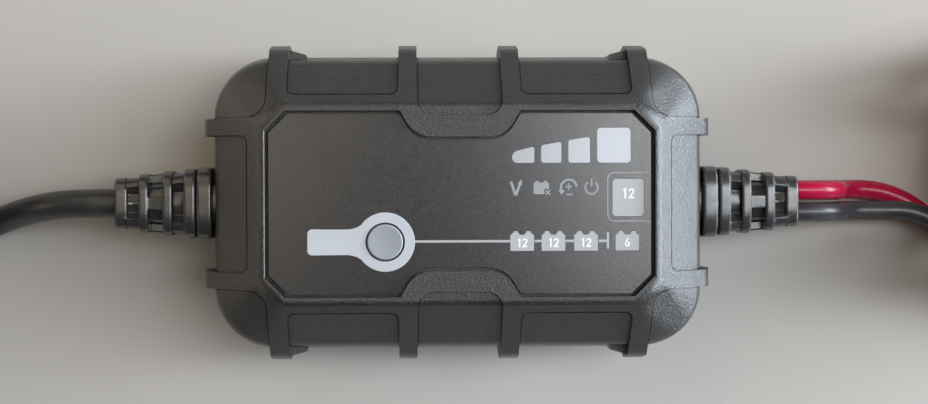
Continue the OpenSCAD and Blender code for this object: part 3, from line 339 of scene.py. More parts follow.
# %% Group: colour drift
drift_group, given, result = new_group("Colour drift", {"Size": 60.0}, ("Share",))
clouds = noise(drift_group, given.outputs["Size"], 3.0)
fill_sockets(drift_group, result, {"Share": spread(drift_group, clouds, 0.3, 0.7)})
print("groups", [group.name for group in bpy.data.node_groups])

# %% [markdown]
# ## Moulded plastics and rubbers
#
# One recipe serves all of them: a base colour that drifts, painted glints on the grain, paler
# rubbed edges, a little dust, painted shade in the hollows, and a bump from the grain. Only the
# values differ. Glossy parts have a small fine grain, the case has the coarse grain of a
# spark-eroded mould.

# %% Helpers for finishes
def use_group(tree, group, sockets=None):
    return put(tree, "Group", sockets, node_tree=group)


def blend_colour(tree, share, under, over):
    """Mixes two colours by a share, and returns the socket of the result. Each kind of mix has
    sockets of its own in the node: 6 and 7 take its two colours, and 2 gives the mixed one."""
    under, over = [colour if isinstance(colour, bpy.types.NodeSocket) else (*colour, 1)
                   for colour in (under, over)]
    return put(tree, "Mix", {0: share, 6: under, 7: over}, data_type="RGBA").outputs[2]


def new_finish(name):
    """A material with its Principled shader, ready for its nodes."""
    finish = bpy.data.materials.new(name)
    finish.use_nodes = True
    return finish, finish.node_tree, finish.node_tree.nodes["Principled BSDF"]


def bumped(tree, height, depth, **settings):
    """The normal of a surface that a height from 0 to 1 raises, to a depth in metres."""
    return put(tree, "Bump", {"Height": height, "Distance": depth}, **settings).outputs["Normal"]


# %% Recipe of a moulded surface
# the colour of the painted glints, the colour of dust, and the strength and darkness of the painted
# shade in hollows
PAINTED_GLINT, DUST = (0.32, 0.31, 0.3), (0.42, 0.4, 0.37)
PAINTED_SHADE_STRENGTH, PAINTED_SHADE_DARKNESS = 0.85, 0.12


def moulded(name, colour, roughness, grain=3000.0, mottle=700.0, depth=0.00002, drift=1.25,
            rub=0.5, rub_colour=(0.2, 0.2, 0.2), dust=0.03, painted_glint=0.0, specular=0.5, tone_and_sheen=None):
    """A moulded finish. drift: how much paler its colour gets in places. rub, dust and the glints: the
    greatest share of each effect; the glints are painted highlights. The paler colour given last is
    reached where the piece's own share of it is 1; on the level bars that share is painted sheen."""
    finish, tree, shader = new_finish(name)
    grains = use_group(tree, grain_group, {"Grain": grain, "Mottle": mottle})
    paler = [min(1.0, channel * drift) for channel in colour]
    shade = blend_colour(tree, use_group(tree, drift_group).outputs[0], colour, paler)
    # a paler colour by the piece's own share: an even tone on most inserts, and painted sheen growing
    # towards the leads on the level bars
    if tone_and_sheen:
        tone_and_sheen_share = put(tree, "Attribute", attribute_name="tone_and_sheen").outputs["Fac"]
        shade = blend_colour(tree, tone_and_sheen_share, shade, tone_and_sheen)
    # paler flecks on the grain: painted glints
    if painted_glint:
        share = calc(tree, "MULTIPLY", grains.outputs["Painted glint"], painted_glint)
        shade = blend_colour(tree, share, shade, PAINTED_GLINT)
    for group, most, over in ((rub_group, rub, rub_colour), (dust_group, dust, DUST)):
        share = calc(tree, "MULTIPLY", use_group(tree, group).outputs[0], most)
        shade = blend_colour(tree, share, shade, over)
    # painted shade: the hollow roundings are darkened where shade falls
    share = use_group(tree, painted_shade_group, {"Strength": PAINTED_SHADE_STRENGTH}).outputs[0]
    shade = blend_colour(tree, share, shade, [channel * PAINTED_SHADE_DARKNESS for channel in colour])
    height = grains.outputs["Height"]
    fill_sockets(tree, shader, {
        "Base Color": shade,
        "Roughness": spread(tree, height, 0.3, 0.7, roughness - 0.06, roughness + 0.08),
        "Specular IOR Level": specular,
        "Normal": bumped(tree, height, depth),
    })
    return finish


# %% Moulded finishes: colour, roughness, scales of grain and mottle, depth of the grain in metres
finishes = {
    # the case and the face carry painted glints on their grain
    "case_plastic": moulded("case_charcoal", (0.013, 0.012, 0.0115), 0.36, 3600, 1700, 0.00022,
                            drift=1.12, rub=0.1, dust=0.01, painted_glint=0.2, specular=0.8),
    "face_plastic": moulded("face_grey", (0.024, 0.023, 0.023), 0.19, 3600, 1700, 0.000018,
                            drift=1.06, rub=0.15, dust=0.01, painted_glint=0.05, specular=0.6),
    "ring_plastic": moulded("ring_pale", (0.46, 0.48, 0.52), 0.5, 5000, 900, 0.000004,
                            drift=1.08, rub=0.5, rub_colour=(0.75, 0.78, 0.82), dust=0.02),
    # its paler colour is painted sheen on the level bars
    "window_plastic": moulded("window_pale", (0.36, 0.36, 0.38), 0.4, 4000, 300, 0.000003,
                              tone_and_sheen=(0.56, 0.58, 0.63),
                              drift=1.12, rub=0.2, rub_colour=(0.6, 0.6, 0.62), dust=0.02),
    "icon_plastic": moulded("mark_grey", (0.27, 0.275, 0.29), 0.45, 4000, 300, 0.000003,
                            drift=1.1, rub=0.0, dust=0.02),
    "button_rubber": moulded("button_grey", (0.27, 0.29, 0.32), 0.55, 5200, 900, 0.000005,
                             drift=1.1, rub=0.3, rub_colour=(0.45, 0.47, 0.5), dust=0.04),
    "seal_rubber": moulded("seal_black", (0.02, 0.02, 0.02), 0.6, rub=0.1, dust=0.05),
    "boot_rubber": moulded("boot_rubber", (0.03, 0.03, 0.031), 0.24, 4200, 600, 0.00001,
                           rub=0.15, dust=0.02, specular=0.8),
    "label_film": moulded("bare_plate", (0.26, 0.26, 0.27), 0.4, 6000, 500, 0.000003,
                          drift=1.06, rub=0.3, rub_colour=(0.5, 0.5, 0.5), dust=0.03),
    "black_plastic": moulded("black_plastic", (0.02, 0.02, 0.02), 0.38, 4000, 900, 0.000008,
                             rub=0.2, dust=0.04),
    "cord_black": moulded("cord_black", (0.028, 0.028, 0.03), 0.36, 1500, 260, 0.00002,
                          rub=0.0, dust=0.1),
    "lead_red": moulded("lead_red", (0.36, 0.006, 0.04), 0.26, 1500, 260, 0.00001,
                        drift=1.12, rub=0.0, dust=0.01, specular=0.35),
    "lead_black": moulded("lead_black", (0.03, 0.03, 0.034), 0.34, 1500, 260, 0.00002,
                          rub=0.0, dust=0.1),
    "plug_black": moulded("plug_black", (0.022, 0.022, 0.024), 0.4, 3600, 500, 0.000012,
                          rub=0.3, dust=0.08),
    "clamp_red": moulded("clamp_red", (0.5, 0.018, 0.02), 0.4, 3000, 600, 0.000014,
                         drift=1.2, rub=0.4, rub_colour=(0.75, 0.25, 0.22), dust=0.05),
    "clamp_black": moulded("clamp_black", (0.022, 0.022, 0.023), 0.4, 3000, 600, 0.000014,
                           rub=0.4, dust=0.08),
    "wire_sleeve": moulded("wire_sleeve", (0.12, 0.06, 0.05), 0.4, 3000, 500, 0.00001, rub=0.0),
    "ferrite": moulded("ferrite", (0.05, 0.05, 0.055), 0.55, 1800, 500, 0.00004, rub=0.3),
    "choke_ferrite": moulded("choke_coat", (0.05, 0.14, 0.08), 0.45, 2000, 500, 0.00003),
    "film_case": moulded("film_case", (0.6, 0.5, 0.08), 0.35, 3000, 400, 0.000008, drift=1.1),
    "capacitor_sleeve": moulded("capacitor_sleeve", (0.03, 0.04, 0.1), 0.28, 3000, 300, 0.000004),
    "light_emitter": moulded("light_emitter", (0.8, 0.78, 0.56), 0.25, rub=0.0, dust=0.0),
}
for slot, cord in (("cord_black", mains_cord), ("lead_red", red_lead), ("lead_black", black_lead)):
    cord.data.materials.append(finishes[slot])
print("moulded finishes", len(finishes))

# %% [markdown]
# ## Metals, boards, wire and cloth
#
# Drawn and rolled metal carries fine lines along the way it was worked, a board has copper paths
# that show through its lacquer, a winding is wire beside wire, and a strap of hook and loop is a
# field of tiny loops. Each is a pattern of its own over the same recipe of base and bump.

# %% Group: worked metal and group: rows of wire
metal_group, given, result = new_group("Worked lines", {"Across": 6000.0, "Along": 200.0},
                                       ("Height",))
stretch = put(metal_group, "CombineXYZ", {0: given.outputs["Along"], 1: given.outputs["Across"],
                                          2: given.outputs["Across"]}).outputs[0]
stretched = put(metal_group, "VectorMath", {0: object_place(metal_group), 1: stretch},
                operation="MULTIPLY").outputs[0]
fill_sockets(metal_group, result, {"Height": noise(metal_group, 1.0, 3.0, place=stretched)})

wire_group, given, result = new_group("Rows of wire", {"Rows": 900.0}, ("Height",))
rows = put(wire_group, "TexWave", {"Vector": object_place(wire_group), "Distortion": 0.4,
                                   "Scale": given.outputs["Rows"]}, bands_direction="Z")
fill_sockets(wire_group, result, {"Height": rows.outputs[1]})


# %% Recipe of a metal, and metal finishes
def worked_metal(name, colour, roughness, tarnish):
    finish, tree, shader = new_finish(name)
    lines = use_group(tree, metal_group).outputs[0]
    share = use_group(tree, drift_group, {"Size": 140.0}).outputs[0]
    fill_sockets(tree, shader, {
        "Base Color": blend_colour(tree, share, colour, tarnish),
        "Metallic": 1.0,
        "Roughness": spread(tree, lines, 0.3, 0.7, roughness - 0.05, roughness + 0.12),
        "Normal": bumped(tree, lines, 0.000004),
    })
    return finish


finishes.update({
    "screw_steel": worked_metal("screw_steel", (0.5, 0.5, 0.52), 0.32, (0.4, 0.39, 0.38)),
    "pin_brass": worked_metal("pin_brass", (0.75, 0.62, 0.25), 0.25, (0.6, 0.46, 0.2)),
    "sink_aluminium": worked_metal("sink_aluminium", (0.7, 0.71, 0.73), 0.3, (0.6, 0.6, 0.62)),
    "blade_brass": worked_metal("blade_brass", (0.75, 0.66, 0.42), 0.22, (0.62, 0.52, 0.3)),
    "contact_copper": worked_metal("contact_copper", (0.72, 0.4, 0.22), 0.28, (0.5, 0.27, 0.15)),
    "spring_steel": worked_metal("spring_steel", (0.55, 0.55, 0.57), 0.28, (0.42, 0.42, 0.43)),
})
print("finishes with the metals", len(finishes))


# %% Recipes of wire, tape and boards
def wound(name, colour, painted_shade_colour, rows, roughness):
    """Wire or tape beside itself, with painted shade between its rows."""
    finish, tree, shader = new_finish(name)
    turns = use_group(tree, wire_group, {"Rows": rows}).outputs[0]
    # the colour between the rows is painted shade
    fill_sockets(tree, shader, {
        "Base Color": blend_colour(tree, turns, painted_shade_colour, colour),
        "Roughness": roughness,
        "Normal": bumped(tree, turns, 0.0001),
    })
    return finish


def lacquered_board(name):
    """A board whose copper paths run round the cells of a square pattern."""
    finish, tree, shader = new_finish(name)
    cells = put(tree, "TexVoronoi", {"Vector": object_place(tree), "Scale": 260.0},
                distance="CHEBYCHEV", feature="F1").outputs[0]
    paths = spread(tree, calc(tree, "PINGPONG", calc(tree, "MULTIPLY", cells, 6.0), 1.0),
                   0.45, 0.55)
    fill_sockets(tree, shader, {
        "Base Color": blend_colour(tree, paths, (0.01, 0.075, 0.03), (0.025, 0.16, 0.07)),
        "Roughness": 0.3,
        "Normal": bumped(tree, paths, 0.00002),
    })
    return finish


# %% Recipes of straps and of clear plastic and glass
def hook_and_loop(name):
    """A cloth of tiny loops, with painted shade between them."""
    finish, tree, shader = new_finish(name)
    loops = put(tree, "TexVoronoi", {"Vector": object_place(tree), "Scale": 2600.0}).outputs[0]
    # the share of painted shade between the loops
    depth = spread(tree, loops, 0.1, 0.7)
    fill_sockets(tree, shader, {
        "Base Color": blend_colour(tree, depth, (0.05, 0.05, 0.052), (0.012, 0.012, 0.013)),
        "Roughness": 0.9,
        "Sheen Weight": 0.3,
        "Normal": bumped(tree, loops, 0.00025, invert=True),
    })
    return finish


def clear(name, colour, roughness):
    finish, tree, shader = new_finish(name)
    clouds = use_group(tree, drift_group, {"Size": 300.0}).outputs[0]
    darker = [channel * 0.92 for channel in colour]
    fill_sockets(tree, shader, {
        "Base Color": blend_colour(tree, clouds, colour, darker),
        "Roughness": spread(tree, clouds, 0.0, 1.0, roughness, roughness + 0.1),
        "Transmission Weight": 1.0,
    })
    return finish


# %% Those finishes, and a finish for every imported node
finishes.update({
    # the second colour of each winding is painted shade between its rows
    "enamelled_wire": wound("enamelled_wire", (0.5, 0.2, 0.05), (0.16, 0.05, 0.01), 260, 0.3),
    "winding_tape": wound("winding_tape", (0.6, 0.42, 0.05), (0.5, 0.33, 0.03), 60, 0.35),
    "circuit_board": lacquered_board("circuit_board"),
    "strap_fabric": hook_and_loop("strap_fabric"),
    "fuse_glass": clear("fuse_glass", (0.85, 0.9, 0.9), 0.02),
    "guide_acrylic": clear("guide_acrylic", (0.9, 0.92, 0.93), 0.3),
})
for part in frame["record"]["subparts"]:
    skin = nodes[part["node"]].data
    skin.materials.clear()
    skin.materials.append(finishes[part["material_slot"]])

# %% [markdown]
# ## Hard mouldings with soft edges
#
# A real moulding has no knife edge: each edge has a radius of some tenths of a millimetre, which
# catches a thin line of light. The imported forms of the boots, the button, the plug and the clamps
# are right already, so each is copied, its loose triangles are merged into whole faces, and every
# sharp edge gets a rounded bevel. The middle of each rounding is marked with the attribute "edge"
# where it stands out, and with a second attribute where it is hollow, which the finishes darken as
# painted shade.

# %% Select a piece, dress it, apply a modifier
def only(piece):
    bpy.ops.object.select_all(action="DESELECT")
    piece.select_set(True)
    bpy.context.view_layer.objects.active = piece
    return piece


def dress(piece, slot, body="charger", *replaced):
    """Gives a finished piece its material, its body and the nodes that it stands for."""
    piece.data.materials.clear()
    piece.data.materials.append(finishes[slot])
    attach(piece, body)
    if replaced:
        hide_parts(*replaced)
    return piece


def apply_modifier(piece, kind, **settings):
    """Gives a piece one modifier with its settings and applies it."""
    only(piece)
    bpy.ops.object.modifier_add(type=kind)
    modifier = piece.modifiers[-1]
    for key, value in settings.items():
        setattr(modifier, key, value)
    bpy.ops.object.modifier_apply(modifier=modifier.name)
    return piece


# %% Mark and shade the roundings
def mark_edges(piece, rounding):
    """Marks the middle of each rounding: edge where it stands out, and where it is hollow a mark that
    the finishes darken as painted shade. rounding holds the numbers of the faces that a bevel made."""
    mesh = piece.data
    outside = {v for face in mesh.polygons if face.index not in rounding for v in face.vertices}
    beside = {}
    for edge in mesh.edges:
        a, b = edge.vertices
        beside.setdefault(a, []).append(b)
        beside.setdefault(b, []).append(a)
    # the hollow mark is the mask of painted shade in the finishes
    marks = {title: mesh.attributes.new(title, "FLOAT", "POINT") for title in ("edge", "painted_crease_shade")}
    for face in rounding:
        for v in mesh.polygons[face].vertices:
            if v in outside:
                continue
            spot, out = mesh.vertices[v].co, mesh.vertices[v].normal
            lift = sum((mesh.vertices[other].co - spot).dot(out) for other in beside[v])
            marks["painted_crease_shade" if lift > 0 else "edge"].data[v].value = 1.0
    return piece


def even_shade(piece, angle=35):
    """Smooth shading that keeps broad faces flat: large faces outweigh the small roundings."""
    only(piece)
    bpy.ops.object.shade_smooth_by_angle(angle=math.radians(angle))
    return apply_modifier(piece, "WEIGHTED_NORMAL", keep_sharp=True)


# %% Round the edges
def round_edges(piece, weight_of, width, segments):
    """Bevels each edge of a closed piece by the share of the width that weight_of gives it, and
    returns the numbers of the faces that this makes."""
    form = bmesh.new()
    form.from_mesh(piece.data)
    weight = form.edges.layers.float.new("bevel_weight_edge")
    for edge in form.edges:
        if len(edge.link_faces) == 2:
            edge[weight] = weight_of(edge)
    form.to_mesh(piece.data)
    form.free()
    piece.data.materials.clear()
    # the bevel puts its faces in a second, empty material slot, where they are found again
    for _ in range(2):
        piece.data.materials.append(None)
    apply_modifier(piece, "BEVEL", width=width * MM, segments=segments, limit_method="WEIGHT",
                   use_clamp_overlap=False, material=1)
    rounding = {face.index for face in piece.data.polygons if face.material_index == 1}
    piece.data.materials.clear()
    piece.data.polygons.foreach_set("material_index", [0] * len(piece.data.polygons))
    return rounding


def soften(piece, width, hollow=0.4, sharp=28, segments=3, skip=None):
    """Rounds each sharp edge of a closed piece. A hollow edge gets a share of the width, and an
    edge whose middle skip picks out stays sharp."""
    def weight_of(edge):
        middle = (edge.verts[0].co + edge.verts[1].co) / (2 * MM)
        if edge.calc_face_angle(0) < math.radians(sharp) or (skip and skip(middle)):
            return 0.0
        return 1.0 if edge.is_convex else hollow

    return even_shade(mark_edges(piece, round_edges(piece, weight_of, width, segments)))


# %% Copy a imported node
MERGE, FLAT_ENOUGH = 2e-6, math.radians(0.8)


def merged_copy(node, name):
    """A copy of a node with a mesh of its own, whose loose triangles are whole faces again."""
    piece = only(new_piece(name, nodes[node].data.copy()))
    piece.data.name = name
    bpy.ops.mesh.customdata_custom_splitnormals_clear()
    bpy.ops.object.mode_set(mode="EDIT")
    bpy.ops.mesh.select_all(action="SELECT")
    bpy.ops.mesh.remove_doubles(threshold=MERGE)
    bpy.ops.mesh.dissolve_limited(angle_limit=FLAT_ENOUGH)
    bpy.ops.object.mode_set(mode="OBJECT")
    return piece


# %% [markdown]
# ## Boots, button, plug and clamps
#
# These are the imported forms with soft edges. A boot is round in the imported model, but its two-part
# mould leaves a squarer and lower section, so the copy is pressed to that shape: each point moves
# out to a curve between a circle and a square, and its height is taken down a little.

# %% Which packed forms are softened
softened = {
    # node: (name of the piece, body, width of the rounding in mm)
    "ac_boot": ("mains_boot", "charger", 0.3),
    "dc_boot": ("lead_boot", "charger", 0.3),
    "mode_button": ("button_cap", "button", 0.25),
    "ac_plug": ("mains_plug", "charger", 0.8),
    "ac_plug_blades": ("plug_blades", "charger", 0.2),
    "rating_plate": ("bare_plate", "charger", 0.05),
}
for colour in ("red", "black"):
    softened.update({
        f"{colour}_clamp_grip": (f"{colour}_jaw_grip", "charger", 0.4),
        f"{colour}_clamp_lever": (f"{colour}_jaw_lever", f"{colour}_lever", 0.4),
        f"{colour}_clamp_pin": (f"{colour}_pivot_pin", "charger", 0.15),
        f"{colour}_grip_plate": (f"{colour}_grip_strip", "charger", 0.08),
        f"{colour}_lever_plate": (f"{colour}_lever_strip", f"{colour}_lever", 0.08),
    })
print("forms to soften", len(softened))

# %% The squarer section of a boot
BOOT_Z, BOOT_CORE, SQUARENESS, BOOT_FLAT = 21, 4.2, 4, 0.9


def press_flat(boot):
    """Makes a round boot squarer and lower, outside the core that holds the cord."""
    for v in boot.data.vertices:
        y, z = v.co.y / MM, v.co.z / MM - BOOT_Z
        far = math.hypot(y, z)
        if far > BOOT_CORE:
            square = (abs(y / far) ** SQUARENESS + abs(z / far) ** SQUARENESS) ** (-1 / SQUARENESS)
            grow = 1 + (square - 1) * min(far - BOOT_CORE, 1)
            v.co.y, v.co.z = y * grow * MM, (BOOT_Z + z * grow * BOOT_FLAT) * MM
    return boot


# %% Soften them all
slots = {part["node"]: part["material_slot"] for part in frame["record"]["subparts"]}
made = {}
for node, (name, body, width) in softened.items():
    piece = merged_copy(node, name)
    if name.endswith("_boot"):
        press_flat(piece)
    soften(piece, width)
    made[name] = dress(piece, slots[node], body, node)
    print(name, "has", len(piece.data.polygons), "faces")

# %% [markdown]
# ## The face
#
# The face plate is one flat moulding with pale inserts that lie flush in it: the ring with its
# tab, the light windows and the marks. A closed flat outline with holes, given a thickness and
# soft edges, is the quickest true way to such a plate, and the same outlines serve for the hole
# and for the piece that fills it.

# %% Flat outlines, in millimetres
def arc(x, y, radius, start, end, steps):
    """Points of an arc, the angles in degrees, counter-clockwise when the end is greater."""
    turns = [math.radians(start + (end - start) * k / steps) for k in range(steps + 1)]
    return [(x + radius * math.cos(a), y + radius * math.sin(a)) for a in turns]


def rounded(points, radius, steps=5):
    """A closed outline whose corners are arcs. radius: one value, or one for each corner."""
    radii = radius if isinstance(radius, (list, tuple)) else [radius] * len(points)
    outline = []
    for i, corner in enumerate(points):
        here = Vector(corner)
        back, on = Vector(points[i - 1]) - here, Vector(points[(i + 1) % len(points)]) - here
        half = back.angle(on) / 2
        cut = min(radii[i] / math.tan(half), 0.49 * back.length, 0.49 * on.length)
        size = cut * math.tan(half)
        if size < 0.01:
            outline.append(tuple(here))
            continue
        first, last = here + cut * back.normalized(), here + cut * on.normalized()
        middle = here + (back.normalized() + on.normalized()).normalized() * size / math.sin(half)
        a, b = first - middle, last - middle
        sweep = math.atan2(a.x * b.y - a.y * b.x, a.dot(b))
        start = math.atan2(a.y, a.x)
        outline += [(middle.x + size * math.cos(start + sweep * k / steps),
                     middle.y + size * math.sin(start + sweep * k / steps))
                    for k in range(steps + 1)]
    return outline


# %% Rectangles, and outlines moved or mirrored
def block(x, y, length, width, radius):
    """A rectangle about x, y with rounded corners."""
    a, b = length / 2, width / 2
    return rounded([(x - a, y - b), (x + a, y - b), (x + a, y + b), (x - a, y + b)], radius)


def moved(outline, x, y):
    return [(x + px, y + py) for px, py in outline]


def mirrored(outline, i, j):
    """The outline with its x turned round where i is -1, and its y where j is -1."""
    return [(i * x, j * y) for x, y in outline]


# %% From a line to a closed mesh, and flat pieces
SEAM = 1e-7
SLANT, FLAT_ANGLE = (0.02, 0.98), 10


def close_seams(piece):
    """Merges the doubles of a piece and turns its faces outwards."""
    only(piece)
    bpy.ops.object.mode_set(mode="EDIT")
    bpy.ops.mesh.select_all(action="SELECT")
    bpy.ops.mesh.remove_doubles(threshold=SEAM)
    bpy.ops.mesh.normals_make_consistent(inside=False)
    bpy.ops.object.mode_set(mode="OBJECT")
    return piece


def flat_piece(name, outlines, low, high, soft):
    """A plate from closed outlines, holes among them, with soft edges above and below."""
    piece = only(new_line(name, outlines, dimensions="2D", fill_mode="BOTH",
                          extrude=((high - low) / 2 - soft) * MM, bevel_depth=soft * MM,
                          bevel_resolution=2, offset=-soft * MM))
    bpy.ops.object.convert(target="MESH")
    piece.data.name = name
    piece.location.z = (high + low) / 2 * MM
    bpy.ops.object.transform_apply(location=True, rotation=False, scale=False)
    close_seams(piece)
    slant = {face.index for face in piece.data.polygons
             if SLANT[0] < abs(face.normal.z) < SLANT[1]}
    return even_shade(mark_edges(piece, slant), FLAT_ANGLE)


# %% Outline of the plate, with a notch in each long side whose upper ends are eased
PLATE_TOP, PLATE_LOW = 41.0, 39.8
PLATE_X, PLATE_Y, PLATE_CUT = 38.7, 18.3, 3.95
NOTCH_FLAT, NOTCH_Y, NOTCH_R, NOTCH_TURN = 5.7, 13.0, 6, 60
notch = [(NOTCH_FLAT + NOTCH_R * math.sin(math.radians(a)),
          NOTCH_Y + NOTCH_R * (1 - math.cos(math.radians(a)))) for a in range(NOTCH_TURN, -1, -6)]
notch_top = notch[0][0] + (PLATE_Y - notch[0][1]) / math.tan(math.radians(NOTCH_TURN))
upper_side = ([(PLATE_X, PLATE_Y - PLATE_CUT), (PLATE_X - PLATE_CUT, PLATE_Y),
               (notch_top + 0.5, PLATE_Y), (notch_top - 0.2, PLATE_Y - 0.35)] + notch)
upper_half = upper_side + mirrored(upper_side[::-1], -1, 1)
plate_outline = upper_half + mirrored(upper_half, -1, -1)
print("plate outline of", len(plate_outline), "points")

# %% Outlines of the ring with its tab, and of the button's hole
BUTTON_X, BUTTON_Y = -15.2, -7.7
RING_R, RING_HOLE_R, TAB_MEETS = 6, 3.95, 143.13
tab_side = [(-5.6, 3.1), (-6.6, 2.78), (-7.6, 2.65), (-14.9, 2.65), (-15.45, 2.4), (-15.7, 1.85)]
ring_outline = moved(arc(0, 0, RING_R, -TAB_MEETS, TAB_MEETS, 72) + tab_side
                     + mirrored(tab_side[::-1], 1, -1), BUTTON_X, BUTTON_Y)
button_hole = arc(BUTTON_X, BUTTON_Y, RING_HOLE_R, 0, 357, 119)
print("ring outline of", len(ring_outline), "points")

# %% [markdown]
# ## Windows and marks
#
# The charge level shows in three bars with slanting tops and a square, each a clear window over a
# lamp. The repair light is a window too. The marks are small flat shapes: four batteries for the
# modes, and signs for low voltage, a bad battery, swapped leads and standby. Each is one closed
# outline, so that it can be both the hole in the plate and the insert.

# %% Outlines of the light windows
BAR_LOW = 8.2
FIRST_BAR_R, BAR_R = [1.3, 0.35, 0.5, 1.5], [0.55, 0.4, 0.5, 0.6]
# each bar: its two ends, the heights of its top there, and the radii of its corners
bars = [(10.5, 15, 10.4, 11.6, FIRST_BAR_R), (16.4, 20.5, 11.8, 12.5, BAR_R),
        (21.9, 26.3, 12.8, 13.5, BAR_R)]
level_outlines = [rounded([(x0, BAR_LOW), (x1, BAR_LOW), (x1, top1), (x0, top0)], radii)
                  for x0, x1, top0, top1, radii in bars]
level_outlines.append(block(31.15, 11.75, 6.8, 7.1, 0.75))
repair_outline = block(34.05, 1.15, 6.4, 7.6, 0.7)

# %% Outlines of the mode marks
LINE_Y, MARK_W, MARK_H, STEP = -7.6, 4.8, 4.0, 0.35
MODE_X = (12.5, 18.85, 25.45, 33.85)


def battery(x, y):
    """A battery from the side: a box with a stepped terminal at each end."""
    wide, top = MARK_W / 2, MARK_H / 2
    mid, low = top - STEP, top - 2 * STEP
    far_out, out, near, nearest = [share * MARK_W for share in (0.42, 0.36, 0.18, 0.12)]
    side = [(wide, -top), (wide, low), (far_out, low), (far_out, mid), (out, mid), (out, top),
            (near, top), (near, mid), (nearest, mid), (nearest, low)]
    return moved([(-wide, -top)] + side + mirrored(side[:0:-1], -1, 1), x, y)


mode_outlines = [battery(x, LINE_Y) for x in MODE_X]
print("windows", len(level_outlines) + 1, "mode marks", len(mode_outlines))


# %% A line of some width as an outline
MITRE = 0.35


def stroke(points, width):
    """The outline of a line of that width through the points, with square ends."""
    half = width / 2
    spots = [Vector(p) for p in points]
    sides = []
    for i, spot in enumerate(spots):
        ways = [(b - a).normalized() for a, b in zip(spots[max(i - 1, 0):i + 2],
                                                     spots[max(i - 1, 0) + 1:i + 2])]
        way = sum(ways, Vector((0, 0))).normalized()
        out = Vector((-way.y, way.x)) * half / max(MITRE, way.dot(ways[0]))
        sides.append((tuple(spot + out), tuple(spot - out)))
    return [s[0] for s in sides] + [s[1] for s in reversed(sides)]


# %% Outlines of the status marks, each about its own middle
low_voltage = [
    [(-1.5, 1.25), (-0.92, 1.25), (-0.3, -0.75), (0.3, 0.75), (0.05, 0.85), (0.95, 1.75),
     (1.05, 0.45), (0.82, 0.54), (0.02, -1.6), (-0.58, -1.6)],
]
bad_battery = [
    [(-1.75, -1.35), (0.3, -1.35), (0.62, -0.98), (0.28, -0.62), (0.72, -0.12), (1.06, -0.46),
     (1.4, -0.12), (1.4, 0.95), (1.05, 0.95), (1.05, 1.4), (0.3, 1.4), (0.3, 1.08), (-0.65, 1.08),
     (-0.65, 1.4), (-1.4, 1.4), (-1.4, 1.08), (-1.75, 0.95)],
    [(0.72, -0.36), (0.5, -0.58), (0.9, -0.98), (0.5, -1.38), (0.72, -1.6), (1.12, -1.2),
     (1.52, -1.6), (1.74, -1.38), (1.34, -0.98), (1.74, -0.58), (1.52, -0.36), (1.12, -0.76)],
]
swapped_leads = [
    arc(0, 0, 1.85, 5, 195, 30) + [(-2.15, -0.62), (-1.45, -1.55), (-0.8, -0.6)]
    + arc(0, 0, 1.32, 195, 5, 30),
    [(-0.72, 0.0), (-0.2, 0.0), (-0.2, -0.52), (0.2, -0.52), (0.2, 0.0), (0.72, 0.0),
     (0.72, 0.4), (0.2, 0.4), (0.2, 0.92), (-0.2, 0.92), (-0.2, 0.4), (-0.72, 0.4)],
    [(-0.55, -1.6), (0.85, -1.6), (0.85, -1.22), (-0.55, -1.22)],
]
standby = [
    arc(0, 0, 1.5, -240, 60, 40) + arc(0, 0, 1.06, 60, -240, 40),
    [(-0.22, 0.1), (0.22, 0.1), (0.22, 1.8), (-0.22, 1.8)],
]
STATUS_Y = 3.2
status_marks = ((11.5, low_voltage), (16.6, bad_battery), (22.0, swapped_leads), (26.6, standby))
status_outlines = [moved(outline, x, STATUS_Y) for x, mark in status_marks for outline in mark]
print("status marks", len(status_marks), "of", len(status_outlines), "outlines")

# %% Face plate and its inserts
# where the painted sheen on the level bars starts and how far it grows, and the even share of the
# paler tone on the other inserts
SHEEN_FROM, SHEEN_LENGTH, EVEN_TONE = 10.5, 24, 0.1
inserts = {
    # piece: (outlines, how far its top is above the plate, width of its soft edge, slot, node)
    "pale_ring": ([ring_outline], 0.03, 0.09, "ring_plastic", "mode_ring"),
    "level_bars": (level_outlines, 0.01, 0.03, "window_plastic", "level_windows"),
    "repair_light": ([repair_outline], 0.01, 0.03, "window_plastic", "repair_window"),
    "mode_marks": (mode_outlines, 0.01, 0.03, "window_plastic", "mode_icons"),
    "status_marks": (status_outlines, 0.01, 0.02, "icon_plastic", "status_icons"),
}
holes = [outline for insert in inserts.values() for outline in insert[0]]
plate = flat_piece("dark_plate", [plate_outline] + holes, PLATE_LOW, PLATE_TOP, 0.06)
dress(plate, "face_plastic", "charger", "face_plate")
for name, (outlines, proud, soft, slot, node) in inserts.items():
    extra = [button_hole] if name == "pale_ring" else []
    piece = flat_piece(name, outlines + extra, PLATE_LOW, PLATE_TOP + proud, soft)
    # the level bars get paler towards the leads as painted sheen, the other inserts keep one tone
    tone_and_sheen = piece.data.attributes.new("tone_and_sheen", "FLOAT", "POINT")
    for v in piece.data.vertices:
        share = (v.co.x / MM - SHEEN_FROM) / SHEEN_LENGTH if name == "level_bars" else EVEN_TONE
        tone_and_sheen.data[v.index].value = min(max(share, 0.0), 1.0)
    dress(piece, slot, "charger", node)
    print(name, "has", len(piece.data.polygons), "faces")

# %% [markdown]
# ## Prints on the face
#
# Ink stands a few hundredths of a millimetre on the plate. It could be a pattern in the plate's
# finish, but a thin piece of its own stays crisp from close by. The lines join the marks, a line
# frames the repair light, and the marks carry plain numbers, each digit drawn as with a broad pen.

